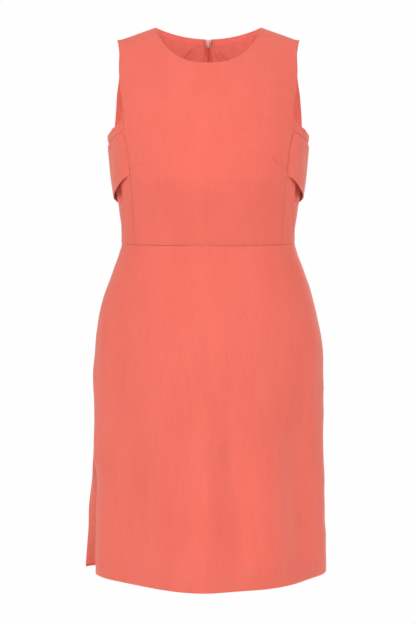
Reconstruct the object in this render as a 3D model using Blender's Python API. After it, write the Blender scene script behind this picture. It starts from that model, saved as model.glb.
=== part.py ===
"""Sleeveless shift dress with a waist seam, side overlays, a side slit and a centre-back zip.

Metres, +Z up, +X on the wearer's left, the front faces -Y. The origin lies midway between the two points where
the shoulder seams meet the neckline, which is where the wearer's shoulders carry the dress.

The dress keeps the shape it has when it is worn. At each height the cloth follows a closed section, whose sizes
come from the two FORM tables. An angle says where a point lies on the section: 0 is the centre front, 90 the
side and 180 the centre back, positive on the wearer's left. Above the bust and the shoulder blades the section
closes over towards the shoulder seams. Every panel is a wall of cloth laid on this form.
"""

import math

import bmesh
import bpy
import numpy as np
from mathutils import Matrix, Vector

# Cloth and seams
CLOTH = 0.0020
THIN_CLOTH = 0.0014
SEAM_GAP = 0.0003
OVERLAY_GAP = 0.0009

# Heights below the shoulder point
WAIST = -0.3810
HEM = -0.9785
UNDERARM = -0.1900
SCOOP = -0.1620
SLIT_TOP = -0.7680

# Shoulders and neck
NECK_HALF = 0.0924
SHOULDER_HALF = 0.1600
SHOULDER_DROP = 0.0238
FRONT_NECK_DROP = 0.0665
BACK_NECK_DROP = 0.0150

# How the bodice closes over towards the shoulder seams, in front and behind: the height where it starts,
# and the two powers of its curve. The cloth's own direction turns up by the share that is left at the seam.
CHEST_CLOSE = (-0.248, 1.7, 0.62)
BLADE_CLOSE = (-0.198, 2.4, 0.60)
SEAM_LEAN = 0.65

# The two powers of the neckline's curve, in front and behind
FRONT_NECK_CURVE = (2.6, 0.74)
BACK_NECK_CURVE = (2.2, 1.1)

# The body's section: height, half width, depth in front and behind, how flat it is in front and behind
# (2 is an ellipse), and how sharply front and back run into the sides (0.5 is an ellipse, 1 comes to an edge).
BODICE_FORM = (
    # z, half, front, back, front_flat, back_flat, front_edge, back_edge
    (0.040, 0.1780, 0.126, 0.113, 2.10, 2.10, 0.50, 0.50),
    (-0.100, 0.1780, 0.130, 0.115, 2.15, 2.15, 0.50, 0.50),
    (-0.190, 0.1776, 0.136, 0.118, 2.25, 2.20, 0.50, 0.50),
    (-0.222, 0.1732, 0.139, 0.117, 2.30, 2.20, 0.50, 0.50),
    (-0.260, 0.1688, 0.139, 0.114, 2.30, 2.15, 0.50, 0.50),
    (-0.298, 0.1632, 0.128, 0.107, 2.20, 2.10, 0.50, 0.50),
    (-0.328, 0.1583, 0.116, 0.100, 2.10, 2.05, 0.50, 0.50),
    (-0.356, 0.1544, 0.106, 0.095, 2.00, 2.00, 0.50, 0.50),
    (-0.381, 0.1536, 0.100, 0.092, 2.00, 2.00, 0.50, 0.50),
)
SKIRT_FORM = (
    # z, half, front, back, front_flat, back_flat, front_edge, back_edge
    (-0.381, 0.1536, 0.100, 0.092, 2.00, 2.00, 0.50, 0.50),
    (-0.398, 0.1587, 0.103, 0.096, 2.00, 2.00, 0.50, 0.50),
    (-0.428, 0.1703, 0.109, 0.105, 2.00, 2.00, 0.50, 0.50),
    (-0.473, 0.1856, 0.119, 0.118, 2.00, 2.00, 0.52, 0.50),
    (-0.518, 0.1967, 0.127, 0.127, 2.00, 2.00, 0.55, 0.52),
    (-0.575, 0.2042, 0.133, 0.131, 2.00, 2.00, 0.60, 0.54),
    (-0.640, 0.2066, 0.137, 0.130, 1.95, 1.95, 0.65, 0.57),
    (-0.720, 0.2062, 0.140, 0.128, 1.92, 1.92, 0.71, 0.60),
    (-0.800, 0.2090, 0.142, 0.127, 1.90, 1.90, 0.77, 0.63),
    (-0.890, 0.2122, 0.143, 0.127, 1.90, 1.90, 0.82, 0.66),
    (-0.9785, 0.2142, 0.144, 0.127, 1.90, 1.90, 0.85, 0.68),
)
FORM_COLUMNS = ("half", "front", "back", "front_flat", "back_flat", "front_edge", "back_edge")

# Where the panels end, as distances from the centre line
FRONT_EDGE = (
    # z, x of the side-front seam, then of the front armhole
    (-0.381, 0.1295),
    (-0.311, 0.1308),
    (-0.256, 0.1365),
    (-0.218, 0.1400),
    (-0.200, 0.1440),
    (-0.186, 0.1475),
    (-0.162, 0.1482),
    (-0.148, 0.1472),
    (-0.135, 0.1486),
    (-0.102, 0.1545),
    (-0.076, 0.1566),
    (-0.052, 0.1563),
    (-0.0238, 0.1600),
)
BACK_ARMHOLE = (
    # z, x
    (-0.190, 0.1776),
    (-0.186, 0.1735),
    (-0.176, 0.1688),
    (-0.162, 0.1674),
    (-0.147, 0.1662),
    (-0.118, 0.1642),
    (-0.098, 0.1618),
    (-0.076, 0.1592),
    (-0.052, 0.1576),
    (-0.0238, 0.1600),
)
SCOOP_EDGE = (
    # share of the way from the side-front seam to the side seam, z of the armhole's lower curve
    (0.00, -0.1620),
    (0.20, -0.1722),
    (0.40, -0.1785),
    (0.70, -0.1872),
    (1.00, -0.1900),
)
SIDE_SEAM = (
    # z, degrees that the bodice's side seam lies in front of the side
    (-0.381, 0.0),
    (-0.365, 6.0),
    (-0.343, 14.0),
    (-0.318, 20.0),
    (-0.298, 24.0),
    (-0.268, 26.0),
    (-0.238, 22.0),
    (-0.212, 11.0),
    (-0.190, 0.0),
)

# The overlay: angle round the body, heights of its edges and how far it stands off at each of them
OVERLAY = (
    # angle, top, bottom, top_lift, bottom_lift
    (53.0, -0.1836, -0.2600, 0.0000, 0.0000),
    (60.0, -0.1916, -0.2690, 0.0000, 0.0038),
    (68.0, -0.1980, -0.2815, 0.0006, 0.0054),
    (76.0, -0.2036, -0.2915, 0.0014, 0.0050),
    (86.0, -0.2106, -0.2985, 0.0018, 0.0028),
    (100.0, -0.2130, -0.3050, 0.0010, 0.0026),
    (120.0, -0.2125, -0.3225, 0.0000, 0.0060),
    (145.0, -0.2125, -0.3420, 0.0000, 0.0100),
    (165.0, -0.2125, -0.3525, 0.0000, 0.0080),
    (180.0, -0.2125, -0.3560, 0.0000, 0.0020),
)
OVERLAY_FLARE = 1.3

# Soft folds of the skirt: angle of each fold, its half width in degrees, its rise (+) or fall (-) at the hem,
# and the height where it starts
SKIRT_FOLDS = (
    # angle, spread, rise, start
    (-64.0, 12.0, 0.0022, -0.520),
    (-40.0, 21.0, -0.0095, -0.600),
    (-6.0, 12.0, 0.0026, -0.480),
    (14.0, 9.0, -0.0034, -0.600),
    (36.0, 12.0, 0.0030, -0.540),
    (57.0, 10.0, -0.0042, -0.560),
    (74.0, 8.0, 0.0026, -0.640),
    (112.0, 13.0, -0.0034, -0.560),
    (134.0, 12.0, 0.0034, -0.600),
    (156.0, 11.0, -0.0030, -0.580),
    (-116.0, 13.0, -0.0032, -0.600),
    (-138.0, 12.0, 0.0030, -0.540),
    (-158.0, 10.0, -0.0028, -0.620),
)

# How far the side seams have swung at the hem, across and back, and the degrees of the section that go with
# them: the two edges of the slit on the wearer's right, and the closed seam on the left
SLIT_FRONT_SHIFT = (0.0093, 0.0)
SLIT_FRONT_RUSH = 8.0
SLIT_BACK_SHIFT = (-0.0110, 0.058)
SLIT_SPREAD = 58.0
SIDE_SHIFT = (0.0014, 0.027)
SIDE_SPREAD = 42.0

# Centre back and zip
BACK_EDGE = 0.0012
BACK_EDGE_AT_TOP = 0.0048
NOTCH_START = -0.048
NOTCH_END = -0.023
ZIP_TOP = -0.0162
ZIP_END = -0.545
TAPE = 0.0008
TAPE_GAP = 0.0005
TAPE_INNER = 0.0022
TAPE_OUTER = 0.0140
COIL_HALF = 0.0018
COIL_THICK = 0.0018
COIL_TOP = -0.0282

# Facing inside the back neck
FACING_EDGE = 0.0068
FACING_HALF = 0.1290
FACING_BOTTOM = -0.098
FACING_INSET = 0.0021
FACING_DROP = 0.0010

# Slider, and the pull tab that hangs from its bridge behind the dress
SLIDER_Z = -0.0193
SLIDER_SIZE = (0.0106, 0.0038, 0.0132)
SLIDER_INSET = 0.0050
SLIDER_CORNER = 0.0022
SLIDER_TAPER = 0.55
BRIDGE_WIDTH = 0.0022
BRIDGE_HALF = 0.0047
BRIDGE_BAR = 0.0012
BRIDGE_UNDER = 0.0032
BRIDGE_BEVEL = 0.0008
PIVOT_OUT = 0.0019
PULL_THICK = 0.0012
PULL_LENGTH = 0.0250
PULL_EYE = 0.0058
PULL_EYE_HALF = 0.0017
PULL_SIDE = 0.0011
PULL_NECK_HALF = 0.0016
PULL_NECK_START = 0.0080
PULL_NECK_END = 0.0110
PULL_DROP_HALF = 0.0029
PULL_LEAN = math.radians(6)

# Rows and columns of the panels
LOWER_ROWS = 9
UPPER_ROWS = 10
FRONT_COLUMNS = 24
SIDE_COLUMNS = 5
BACK_COLUMNS = 14
OVERLAY_COLUMNS = 18
OVERLAY_ROWS = 7
OVERLAY_CROWD = 1.25
FACING_COLUMNS = 8
FACING_ROWS = 6
FACING_CROWD = 1.6
SKIRT_COLUMNS = 30
SKIRT_ROWS = 18
PULL_ARC = 8
COLUMN_PASSES = 12

CORAL = (0.84, 0.175, 0.13, 1.0)
PINK = (0.86, 0.42, 0.38, 1.0)


def smooth(table, at, column=1):
    """Value of a table's column, between its rows by a curve that never overshoots them."""
    rows = sorted(table)
    x = np.array([row[0] for row in rows])
    y = np.array([row[column] for row in rows])
    step = np.diff(x)
    slope = np.diff(y) / step
    tangent = np.zeros(len(x))
    tangent[0] = slope[0]
    tangent[-1] = slope[-1]
    for i in range(1, len(x) - 1):
        if slope[i - 1] * slope[i] > 0:
            before = 2 * step[i] + step[i - 1]
            after = step[i] + 2 * step[i - 1]
            tangent[i] = (before + after) / (before / slope[i - 1] + after / slope[i])
    at = min(max(at, x[0]), x[-1])
    i = min(max(int(np.searchsorted(x, at)) - 1, 0), len(x) - 2)
    t = (at - x[i]) / step[i]
    return ((2 * t**3 - 3 * t**2 + 1) * y[i] + (t**3 - 2 * t**2 + t) * step[i] * tangent[i]
            + (3 * t**2 - 2 * t**3) * y[i + 1] + (t**3 - t**2) * step[i] * tangent[i + 1])


def ease(t):
    """Goes from 0 to 1 with no kink at either end."""
    t = min(max(t, 0.0), 1.0)
    return t * t * (3 - 2 * t)


def form_at(table, z):
    return {name: smooth(table, z, 1 + i) for i, name in enumerate(FORM_COLUMNS)}


def angle_of(x, z, table=BODICE_FORM, behind=False):
    """Angle, in degrees, of the point of the section at distance x from the centre line."""
    form = form_at(table, z)
    flat = form["back_flat"] if behind else form["front_flat"]
    turn = math.degrees(math.asin(min(abs(x) / form["half"], 1.0) ** (flat / 2)))
    return 180.0 - turn if behind else turn


def section(form, angle):
    """Outer point of the section at an angle, and the same point as shares of its half width and depth."""
    turn = math.radians(abs(angle))
    in_front = abs(angle) <= 90
    flat = form["front_flat"] if in_front else form["back_flat"]
    depth = form["front"] if in_front else form["back"]
    edge = form["front_edge"] if in_front else form["back_edge"]
    across = math.copysign(abs(math.sin(turn)) ** (2 / flat), angle)
    deep = math.copysign(abs(math.cos(turn)) ** (2 * edge), -math.cos(turn))
    return form["half"] * across, depth * deep, across, deep


def shoulder_line(x):
    """Height of the shoulder seam, carried on in a straight line across the neck."""
    return (NECK_HALF - abs(x)) * SHOULDER_DROP / (SHOULDER_HALF - NECK_HALF)


def bodice_point(z, angle):
    """Outer point of the bodice and the direction in which its cloth is thick."""
    x, y, across, deep = section(form_at(BODICE_FORM, z), angle)
    start, power, close = CHEST_CLOSE if abs(angle) <= 90 else BLADE_CLOSE
    rise = min(max((z - start) / (shoulder_line(x) - start), 0.0), 1.0)
    y *= (1 - rise**power) ** close
    y += math.copysign(SEAM_GAP / 2, y) * rise**4
    deep *= (1 - rise**power) ** close
    over = rise**3
    out = Vector((across * (1 - SEAM_LEAN * over), deep, over))
    return Vector((x, y, z)), out.normalized()


def side_swing(z, angle, right_back):
    """How far a point moves with its side seam: the slit's front edge swings in and its back edge out."""
    drop = min(max((SLIT_TOP - z) / (SLIT_TOP - HEM), 0.0), 1.0)
    if angle > 0:
        shift = SIDE_SHIFT
        near = ease(1 - abs(angle - 90) / SIDE_SPREAD)
    else:
        shift = SLIT_BACK_SHIFT if right_back else SLIT_FRONT_SHIFT
        near = ease(1 - abs(angle + 90) / SLIT_SPREAD)
        if not right_back:
            drop = 1 - (1 - drop) ** SLIT_FRONT_RUSH
    return Vector((shift[0], shift[1], 0)) * drop * near


def skirt_point(z, angle, right_back=False):
    """Outer point of the skirt and the direction in which its cloth is thick."""
    x, y, across, deep = section(form_at(SKIRT_FORM, z), angle)
    out = Vector((across, deep, 0)).normalized()
    fold = 0.0
    for centre, spread, rise, start in SKIRT_FOLDS:
        grown = ease((start - z) / (start - HEM))
        fold += rise * grown * math.exp(-((angle - centre) / spread) ** 2)
    point = Vector((x, y, z)) + out * fold
    if right_back or angle > -90:
        point += side_swing(z, angle, right_back)
    return point, out


def new_material(name, colour, roughness, metallic=0.0):
    material = bpy.data.materials.new(name)
    material.use_nodes = True
    shader = material.node_tree.nodes["Principled BSDF"]
    shader.inputs["Base Color"].default_value = colour
    shader.inputs["Roughness"].default_value = roughness
    shader.inputs["Metallic"].default_value = metallic
    return material


def add_object(name, mesh, material):
    thing = bpy.data.objects.new(name, mesh)
    mesh.materials.append(material)
    bpy.context.scene.collection.objects.link(thing)
    return thing


def wall(name, grid, lift, thickness, material):
    """A closed wall of cloth. grid holds rows of (point, outward direction); lift moves its inner face out."""
    rows = len(grid)
    columns = len(grid[0])
    mesh = bpy.data.meshes.new(name)
    bm = bmesh.new()
    outer = []
    inner = []
    for i, row in enumerate(grid):
        raised = [lift(i, j) for j in range(columns)]
        outer.append([bm.verts.new(p + n * (raised[j] + thickness)) for j, (p, n) in enumerate(row)])
        inner.append([bm.verts.new(p + n * raised[j]) for j, (p, n) in enumerate(row)])
    for i in range(rows - 1):
        for j in range(columns - 1):
            quad = ((i, j), (i, j + 1), (i + 1, j + 1), (i + 1, j))
            bm.faces.new([outer[a][b] for a, b in quad])
            bm.faces.new([inner[a][b] for a, b in reversed(quad)])
    rim = [(0, j) for j in range(columns)]
    rim += [(i, columns - 1) for i in range(1, rows)]
    rim += [(rows - 1, j) for j in range(columns - 2, -1, -1)]
    rim += [(i, 0) for i in range(rows - 2, 0, -1)]
    for here, after in zip(rim, rim[1:] + rim[:1]):
        bm.faces.new([outer[here[0]][here[1]], inner[here[0]][here[1]],
                      inner[after[0]][after[1]], outer[after[0]][after[1]]])
    bmesh.ops.recalc_face_normals(bm, faces=bm.faces)
    if bm.calc_volume(signed=True) < 0:
        bmesh.ops.reverse_faces(bm, faces=bm.faces)
    bm.to_mesh(mesh)
    bm.free()
    mesh.shade_smooth()
    mesh.set_sharp_from_angle(angle=math.radians(40))
    return add_object(name, mesh, material)


def under(i, j):
    """The wall's outer face is the form itself."""
    return -CLOTH


def spread(count, first, last):
    """Even steps from first to last, both included."""
    return [first + (last - first) * i / count for i in range(count + 1)]


def top_height(x, behind):
    """Height of the panel's upper edge: the neckline, and the shoulder seam beside it."""
    if abs(x) >= NECK_HALF:
        return shoulder_line(x)
    drop = BACK_NECK_DROP if behind else FRONT_NECK_DROP
    power, close = BACK_NECK_CURVE if behind else FRONT_NECK_CURVE
    return -drop * (1 - (abs(x) / NECK_HALF) ** power) ** close


def top_of_column(edge_angle, share, behind):
    """Height at which a column, a share of the way to the panel's edge, meets the upper edge."""
    z = 0.0
    for _ in range(COLUMN_PASSES):
        angle = column_angle(edge_angle, share, z, behind)
        x = section(form_at(BODICE_FORM, z), angle)[0]
        z = 0.5 * (z + top_height(x, behind))
    return z


def column_angle(edge_angle, share, z, behind):
    edge = edge_angle(z)
    if not behind:
        return edge * share
    middle = angle_of(back_gap(z), z, behind=True)
    return middle + (edge - middle) * share


def back_gap(z):
    """Distance of the back panel's zip edge from the centre line: it opens to a notch at the neck."""
    return BACK_EDGE + (BACK_EDGE_AT_TOP - BACK_EDGE) * ease((z - NOTCH_START) / (NOTCH_END - NOTCH_START))


def front_edge_angle(z):
    """The centre panel's edge: the side-front seam and, above it, the armhole."""
    return angle_of(smooth(FRONT_EDGE, z), z)


def side_seam_angle(z):
    return 90.0 - smooth(SIDE_SEAM, z)


def back_edge_angle(z):
    """The back panel's edge: the side seam and, above it, the armhole."""
    if z <= UNDERARM:
        return side_seam_angle(z)
    return angle_of(smooth(BACK_ARMHOLE, z), z, behind=True)


def gap_angle(z, angle, table=BODICE_FORM):
    """Degrees that half a seam's gap takes up at an angle on the section."""
    form = form_at(table, z)
    here = Vector(section(form, angle)[:2])
    there = Vector(section(form, angle - 1.0)[:2])
    return 0.5 * SEAM_GAP / (there - here).length


def panel_rows(low, middle, top):
    """Heights of a bodice panel's rows: even up to middle, then crowded towards middle and top."""
    low += SEAM_GAP / 2
    heights = [low + (middle - low) * i / LOWER_ROWS for i in range(LOWER_ROWS)]
    for i in range(UPPER_ROWS + 1):
        heights.append(middle + (top - middle) * (1 - math.cos(math.pi * i / UPPER_ROWS)) / 2)
    return heights


def neck_share(edge_angle, behind):
    """The column that ends where the shoulder seam meets the neckline."""
    edge = edge_angle(0.0)
    corner = angle_of(NECK_HALF, 0.0, behind=behind)
    middle = angle_of(back_gap(0.0), 0.0, behind=True) if behind else 0.0
    return (corner - middle) / (edge - middle)


def front_bodice(material):
    corner = neck_share(front_edge_angle, False)
    neck_columns = FRONT_COLUMNS // 4
    shoulder_columns = FRONT_COLUMNS // 2 - neck_columns
    half = spread(neck_columns, 0.0, corner)[1:] + spread(shoulder_columns, corner, 1.0)[1:]
    shares = [-s for s in reversed(half)] + [0.0] + half
    tops = [top_of_column(front_edge_angle, abs(s), False) for s in shares]
    heights = [panel_rows(WAIST, SCOOP, top) for top in tops]
    grid = []
    for i in range(LOWER_ROWS + UPPER_ROWS + 1):
        row = []
        for share, column in zip(shares, heights):
            z = column[i]
            edge = front_edge_angle(z)
            trimmed = edge - gap_angle(z, edge) * (z <= SCOOP)
            row.append(bodice_point(z, trimmed * share))
        grid.append(row)
    return wall("front_bodice", grid, under, CLOTH, material)


def side_front(side, name, material):
    grid = []
    shares = spread(SIDE_COLUMNS, 0.0, 1.0)
    low = WAIST + SEAM_GAP / 2
    for i in range(LOWER_ROWS + 1):
        row = []
        for share in shares:
            z = low + (smooth(SCOOP_EDGE, share) - low) * i / LOWER_ROWS
            first = front_edge_angle(min(z, SCOOP))
            last = side_seam_angle(z)
            first += gap_angle(z, first)
            last -= gap_angle(z, last)
            row.append(bodice_point(z, side * (first + (last - first) * share)))
        grid.append(row)
    return wall(name, grid, under, CLOTH, material)


def back_shares():
    corner = neck_share(back_edge_angle, True)
    neck_columns = BACK_COLUMNS // 2
    return spread(neck_columns, 0.0, corner) + spread(BACK_COLUMNS - neck_columns, corner, 1.0)[1:]


def back_bodice(side, name, material):
    shares = back_shares()
    tops = [top_of_column(back_edge_angle, s, True) for s in shares]
    heights = [panel_rows(WAIST, UNDERARM, top) for top in tops]
    grid = []
    for i in range(LOWER_ROWS + UPPER_ROWS + 1):
        row = []
        for share, column in zip(shares, heights):
            z = column[i]
            middle = angle_of(back_gap(z), z, behind=True)
            edge = back_edge_angle(z)
            if z <= UNDERARM:
                edge += gap_angle(z, edge)
            row.append(bodice_point(z, side * (middle + (edge - middle) * share)))
        grid.append(row)
    return wall(name, grid, under, CLOTH, material)


def back_facing(side, name, material):
    """Lies inside the back neck, with room for the zip's tape between it and the back."""
    grid = []
    for i in range(FACING_ROWS + 1):
        climb = 1 - (1 - i / FACING_ROWS) ** FACING_CROWD
        row = []
        for x in spread(FACING_COLUMNS, FACING_EDGE, FACING_HALF):
            top = top_height(x, True) - FACING_DROP
            z = FACING_BOTTOM + (top - FACING_BOTTOM) * climb
            row.append(bodice_point(z, side * angle_of(x, z, behind=True)))
        grid.append(row)
    inset = -CLOTH - FACING_INSET - THIN_CLOTH
    return wall(name, grid, lambda i, j: inset, THIN_CLOTH, material)


def overlay(side, name, material):
    """Lies over the side-front and back panels, and swings free along its lower edge."""
    first = OVERLAY[0][0]
    grid = []
    lifts = []
    for i in range(OVERLAY_ROWS + 1):
        share = i / OVERLAY_ROWS
        row = []
        row_lifts = []
        for j in range(OVERLAY_COLUMNS + 1):
            along = (j / OVERLAY_COLUMNS) ** OVERLAY_CROWD
            angle = first + (180.0 - first) * along
            z = smooth(OVERLAY, angle, 1) * (1 - share) + smooth(OVERLAY, angle, 2) * share
            start = front_edge_angle(z)
            start += gap_angle(z, start)
            end = angle_of(BACK_EDGE, z, behind=True)
            place = start + (end - start) * along
            lift = smooth(OVERLAY, angle, 3) * (1 - share) + smooth(OVERLAY, angle, 4) * share**OVERLAY_FLARE
            row.append(bodice_point(z, side * place))
            row_lifts.append(OVERLAY_GAP + lift)
        grid.append(row)
        lifts.append(row_lifts)
    return wall(name, grid, lambda i, j: lifts[i][j], CLOTH, material)


def skirt_rows():
    return spread(SKIRT_ROWS, WAIST - SEAM_GAP / 2, HEM)


def skirt_front(material):
    grid = []
    for z in skirt_rows():
        edge = 90 - gap_angle(z, 90, SKIRT_FORM)
        grid.append([skirt_point(z, angle) for angle in spread(SKIRT_COLUMNS, -edge, edge)])
    return wall("skirt_front", grid, under, CLOTH, material)


def skirt_back(side, name, material):
    grid = []
    for z in skirt_rows():
        edge = 90 + gap_angle(z, 90, SKIRT_FORM)
        middle = angle_of(BACK_EDGE, z, SKIRT_FORM, behind=True)
        angles = spread(SKIRT_COLUMNS // 2, edge, middle)
        grid.append([skirt_point(z, side * angle, side < 0) for angle in angles])
    return wall(name, grid, under, CLOTH, material)


def back_line(z, x):
    """Outer point of the centre back at a small distance x from the centre line, bodice or skirt."""
    table, point_at = (BODICE_FORM, bodice_point) if z > WAIST else (SKIRT_FORM, skirt_point)
    return point_at(z, math.copysign(angle_of(x, z, table, behind=True), x))


def zip_strip(name, first, last, top, thickness, material):
    """Runs down the centre back, with a row wherever the panels above it have one."""
    neck = top_of_column(back_edge_angle, 0.0, True)
    rows = [z for z in panel_rows(WAIST, UNDERARM, neck) + skirt_rows() if ZIP_END < z < top]
    rows = [top] + sorted(rows, reverse=True) + [ZIP_END]
    grid = [[back_line(z, first), back_line(z, last)] for z in rows]
    inset = -CLOTH - TAPE_GAP - thickness
    return wall(name, grid, lambda i, j: inset, thickness, material)


def slider_frame():
    """Axes at the slider: across, out of the back and down along it, and its point on the back's surface."""
    here = back_line(SLIDER_Z, 1e-6)[0]
    above = back_line(SLIDER_Z + 0.004, 1e-6)[0]
    below = back_line(SLIDER_Z - 0.004, 1e-6)[0]
    down = (below - above).normalized()
    across = Vector((1, 0, 0))
    outward = across.cross(down).normalized()
    here.x = 0
    return Matrix((across, outward, -down)).transposed().to_4x4(), here


def extrude_outline(name, outline, half, axis, material):
    """A closed plate: an outline in the two axes other than axis, from -half to half along axis."""
    bm = bmesh.new()
    ends = []
    for level in (-half, half):
        ring = []
        for a, b in outline:
            place = [a, b]
            place.insert(axis, level)
            ring.append(bm.verts.new(place))
        ends.append(ring)
    for ring in ends:
        bm.faces.new(ring)
    count = len(outline)
    for i in range(count):
        k = (i + 1) % count
        bm.faces.new([ends[0][i], ends[0][k], ends[1][k], ends[1][i]])
    bmesh.ops.recalc_face_normals(bm, faces=bm.faces)
    mesh = bpy.data.meshes.new(name)
    bm.to_mesh(mesh)
    bm.free()
    return add_object(name, mesh, material)


def boolean(thing, other, operation):
    modifier = thing.modifiers.new(operation.lower(), "BOOLEAN")
    modifier.object = other
    modifier.operation = operation
    other.hide_render = True
    other.display_type = "WIRE"


def slider(material):
    """The slider's body inside the dress, and the bridge that comes out through the notch."""
    frame, here = slider_frame()
    wide, thick, tall = (size / 2 for size in SLIDER_SIZE)
    cut = SLIDER_CORNER
    outline = [(-wide, -tall * SLIDER_TAPER), (-wide + cut / 2, -tall), (wide - cut / 2, -tall),
               (wide, -tall * SLIDER_TAPER), (wide, tall - cut), (wide - cut, tall), (-wide + cut, tall),
               (-wide, tall - cut)]
    body = extrude_outline("zip_slider", outline, thick, 1, material)
    foot = -SLIDER_INSET - thick
    body.matrix_world = Matrix.Translation(here) @ frame @ Matrix.Translation((0, foot, 0))
    top = BRIDGE_UNDER + BRIDGE_BAR
    end = BRIDGE_HALF - BRIDGE_BEVEL
    inside = BRIDGE_HALF - BRIDGE_BAR
    profile = [(foot, -BRIDGE_HALF), (top - BRIDGE_BEVEL, -BRIDGE_HALF), (top, -end), (top, end),
               (top - BRIDGE_BEVEL, BRIDGE_HALF), (foot, BRIDGE_HALF), (foot, inside),
               (BRIDGE_UNDER, inside), (BRIDGE_UNDER, -inside), (foot, -inside)]
    bridge = extrude_outline("slider_bridge_form", profile, BRIDGE_WIDTH / 2, 0, material)
    bridge.matrix_world = Matrix.Translation(here) @ frame
    boolean(body, bridge, "UNION")
    return body


def pull(material):
    """The pull tab: its eye goes round the bridge, and its upper bar is the hinge."""
    frame, here = slider_frame()
    bar = PULL_THICK / 2
    half_top = PULL_EYE_HALF + PULL_SIDE
    side = [(half_top, bar), (half_top, -PULL_EYE), (PULL_NECK_HALF, -PULL_NECK_START),
            (PULL_NECK_HALF, -PULL_NECK_END)]
    reach = PULL_LENGTH - PULL_DROP_HALF
    for k in range(PULL_ARC):
        turn = math.pi * k / PULL_ARC / 2
        side.append((PULL_DROP_HALF * math.cos(turn), -reach - PULL_DROP_HALF * math.sin(turn)))
    outline = side + [(0, -PULL_LENGTH)] + [(-x, z) for x, z in reversed(side)]
    plate = extrude_outline("zip_pull", outline, bar, 1, material)
    eye = [(PULL_EYE_HALF, -bar), (PULL_EYE_HALF, -PULL_EYE),
           (-PULL_EYE_HALF, -PULL_EYE), (-PULL_EYE_HALF, -bar)]
    cutter = extrude_outline("pull_eye_form", eye, PULL_THICK, 1, material)
    place = Matrix.Translation(here) @ frame @ Matrix.Translation((0, PIVOT_OUT, 0))
    place = place @ Matrix.Rotation(-PULL_LEAN, 4, "X")
    plate.matrix_world = place
    cutter.matrix_world = place
    boolean(plate, cutter, "DIFFERENCE")
    return plate


def main():
    for thing in list(bpy.data.objects):
        bpy.data.objects.remove(thing)
    crepe = new_material("coral crepe", CORAL, 0.85)
    lining = new_material("coral facing", CORAL, 0.7)
    tape = new_material("woven tape", CORAL, 0.8)
    enamel = new_material("pink enamel", PINK, 0.35)
    front_bodice(crepe)
    skirt_front(crepe)
    for side, hand in ((1, "left"), (-1, "right")):
        side_front(side, "side_front_" + hand, crepe)
        back_bodice(side, "back_bodice_" + hand, crepe)
        overlay(side, "overlay_" + hand, crepe)
        skirt_back(side, "skirt_back_" + hand, crepe)
        back_facing(side, "back_facing_" + hand, lining)
        zip_strip("zip_tape_" + hand, side * TAPE_INNER, side * TAPE_OUTER, ZIP_TOP, TAPE, tape)
    zip_strip("zip_coil", -COIL_HALF, COIL_HALF, COIL_TOP, COIL_THICK, tape)
    slider(enamel)
    pull(enamel)


main()
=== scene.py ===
"""Looks of the sleeveless shift dress: its cloth, seams, folds, zip and finishes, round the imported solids.

Metres, +Z up, +X on the wearer's left, the front faces -Y. Every panel is a thin shell of cloth on the form
that its solid has. A panel is a grid whose rows run up the dress and whose columns run round it, towards the
wearer's left in front. An angle says where a point lies round the body: 0 is the centre front, 90 the side
and 180 the centre back, positive on the wearer's left.
"""

import math

import bpy
import numpy as np
from mathutils import Matrix, Vector


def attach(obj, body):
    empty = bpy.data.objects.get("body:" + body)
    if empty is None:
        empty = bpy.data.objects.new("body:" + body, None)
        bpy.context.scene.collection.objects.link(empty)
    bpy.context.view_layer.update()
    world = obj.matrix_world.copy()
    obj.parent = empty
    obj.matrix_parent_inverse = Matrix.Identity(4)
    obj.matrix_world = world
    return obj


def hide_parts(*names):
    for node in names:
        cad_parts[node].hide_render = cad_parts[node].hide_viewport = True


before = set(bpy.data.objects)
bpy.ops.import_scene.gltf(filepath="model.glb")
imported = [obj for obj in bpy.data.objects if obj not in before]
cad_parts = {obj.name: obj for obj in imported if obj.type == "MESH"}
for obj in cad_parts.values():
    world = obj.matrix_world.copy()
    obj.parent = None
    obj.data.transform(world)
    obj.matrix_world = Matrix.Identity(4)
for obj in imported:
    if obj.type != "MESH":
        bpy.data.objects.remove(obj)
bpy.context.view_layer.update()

# ---------------- the dress's form

WAIST = -0.3810
HEM = -0.9785
UNDERARM = -0.1900
SCOOP = -0.1620
SLIT_TOP = -0.7680
NECK_HALF = 0.0924
SHOULDER_HALF = 0.1600
SHOULDER_DROP = 0.0238
FRONT_NECK_DROP = 0.0665
BACK_NECK_DROP = 0.0150
FRONT_NECK_CURVE = (2.6, 0.74)
BACK_NECK_CURVE = (2.2, 1.1)

# Where the bodice starts to close over towards the shoulder seams, and the two powers of that curve
CHEST_CLOSE = (-0.248, 1.7, 0.62)
BLADE_CLOSE = (-0.198, 2.4, 0.60)
SHOULDER_GAP = 0.0003

FORM_COLUMNS = ("half", "front", "back", "front_flat", "back_flat", "front_edge", "back_edge")
BODICE_FORM = (
    # z, half, front, back, front_flat, back_flat, front_edge, back_edge
    (0.04, 0.178, 0.126, 0.113, 2.1, 2.1, 0.5, 0.5),
    (-0.1, 0.178, 0.13, 0.115, 2.15, 2.15, 0.5, 0.5),
    (-0.19, 0.1776, 0.136, 0.118, 2.25, 2.2, 0.5, 0.5),
    (-0.222, 0.1732, 0.139, 0.117, 2.3, 2.2, 0.5, 0.5),
    (-0.26, 0.1688, 0.139, 0.114, 2.3, 2.15, 0.5, 0.5),
    (-0.298, 0.1632, 0.128, 0.107, 2.2, 2.1, 0.5, 0.5),
    (-0.328, 0.1583, 0.116, 0.1, 2.1, 2.05, 0.5, 0.5),
    (-0.356, 0.1544, 0.106, 0.095, 2.0, 2.0, 0.5, 0.5),
    (-0.381, 0.1536, 0.1, 0.092, 2.0, 2.0, 0.5, 0.5),
)
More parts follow.
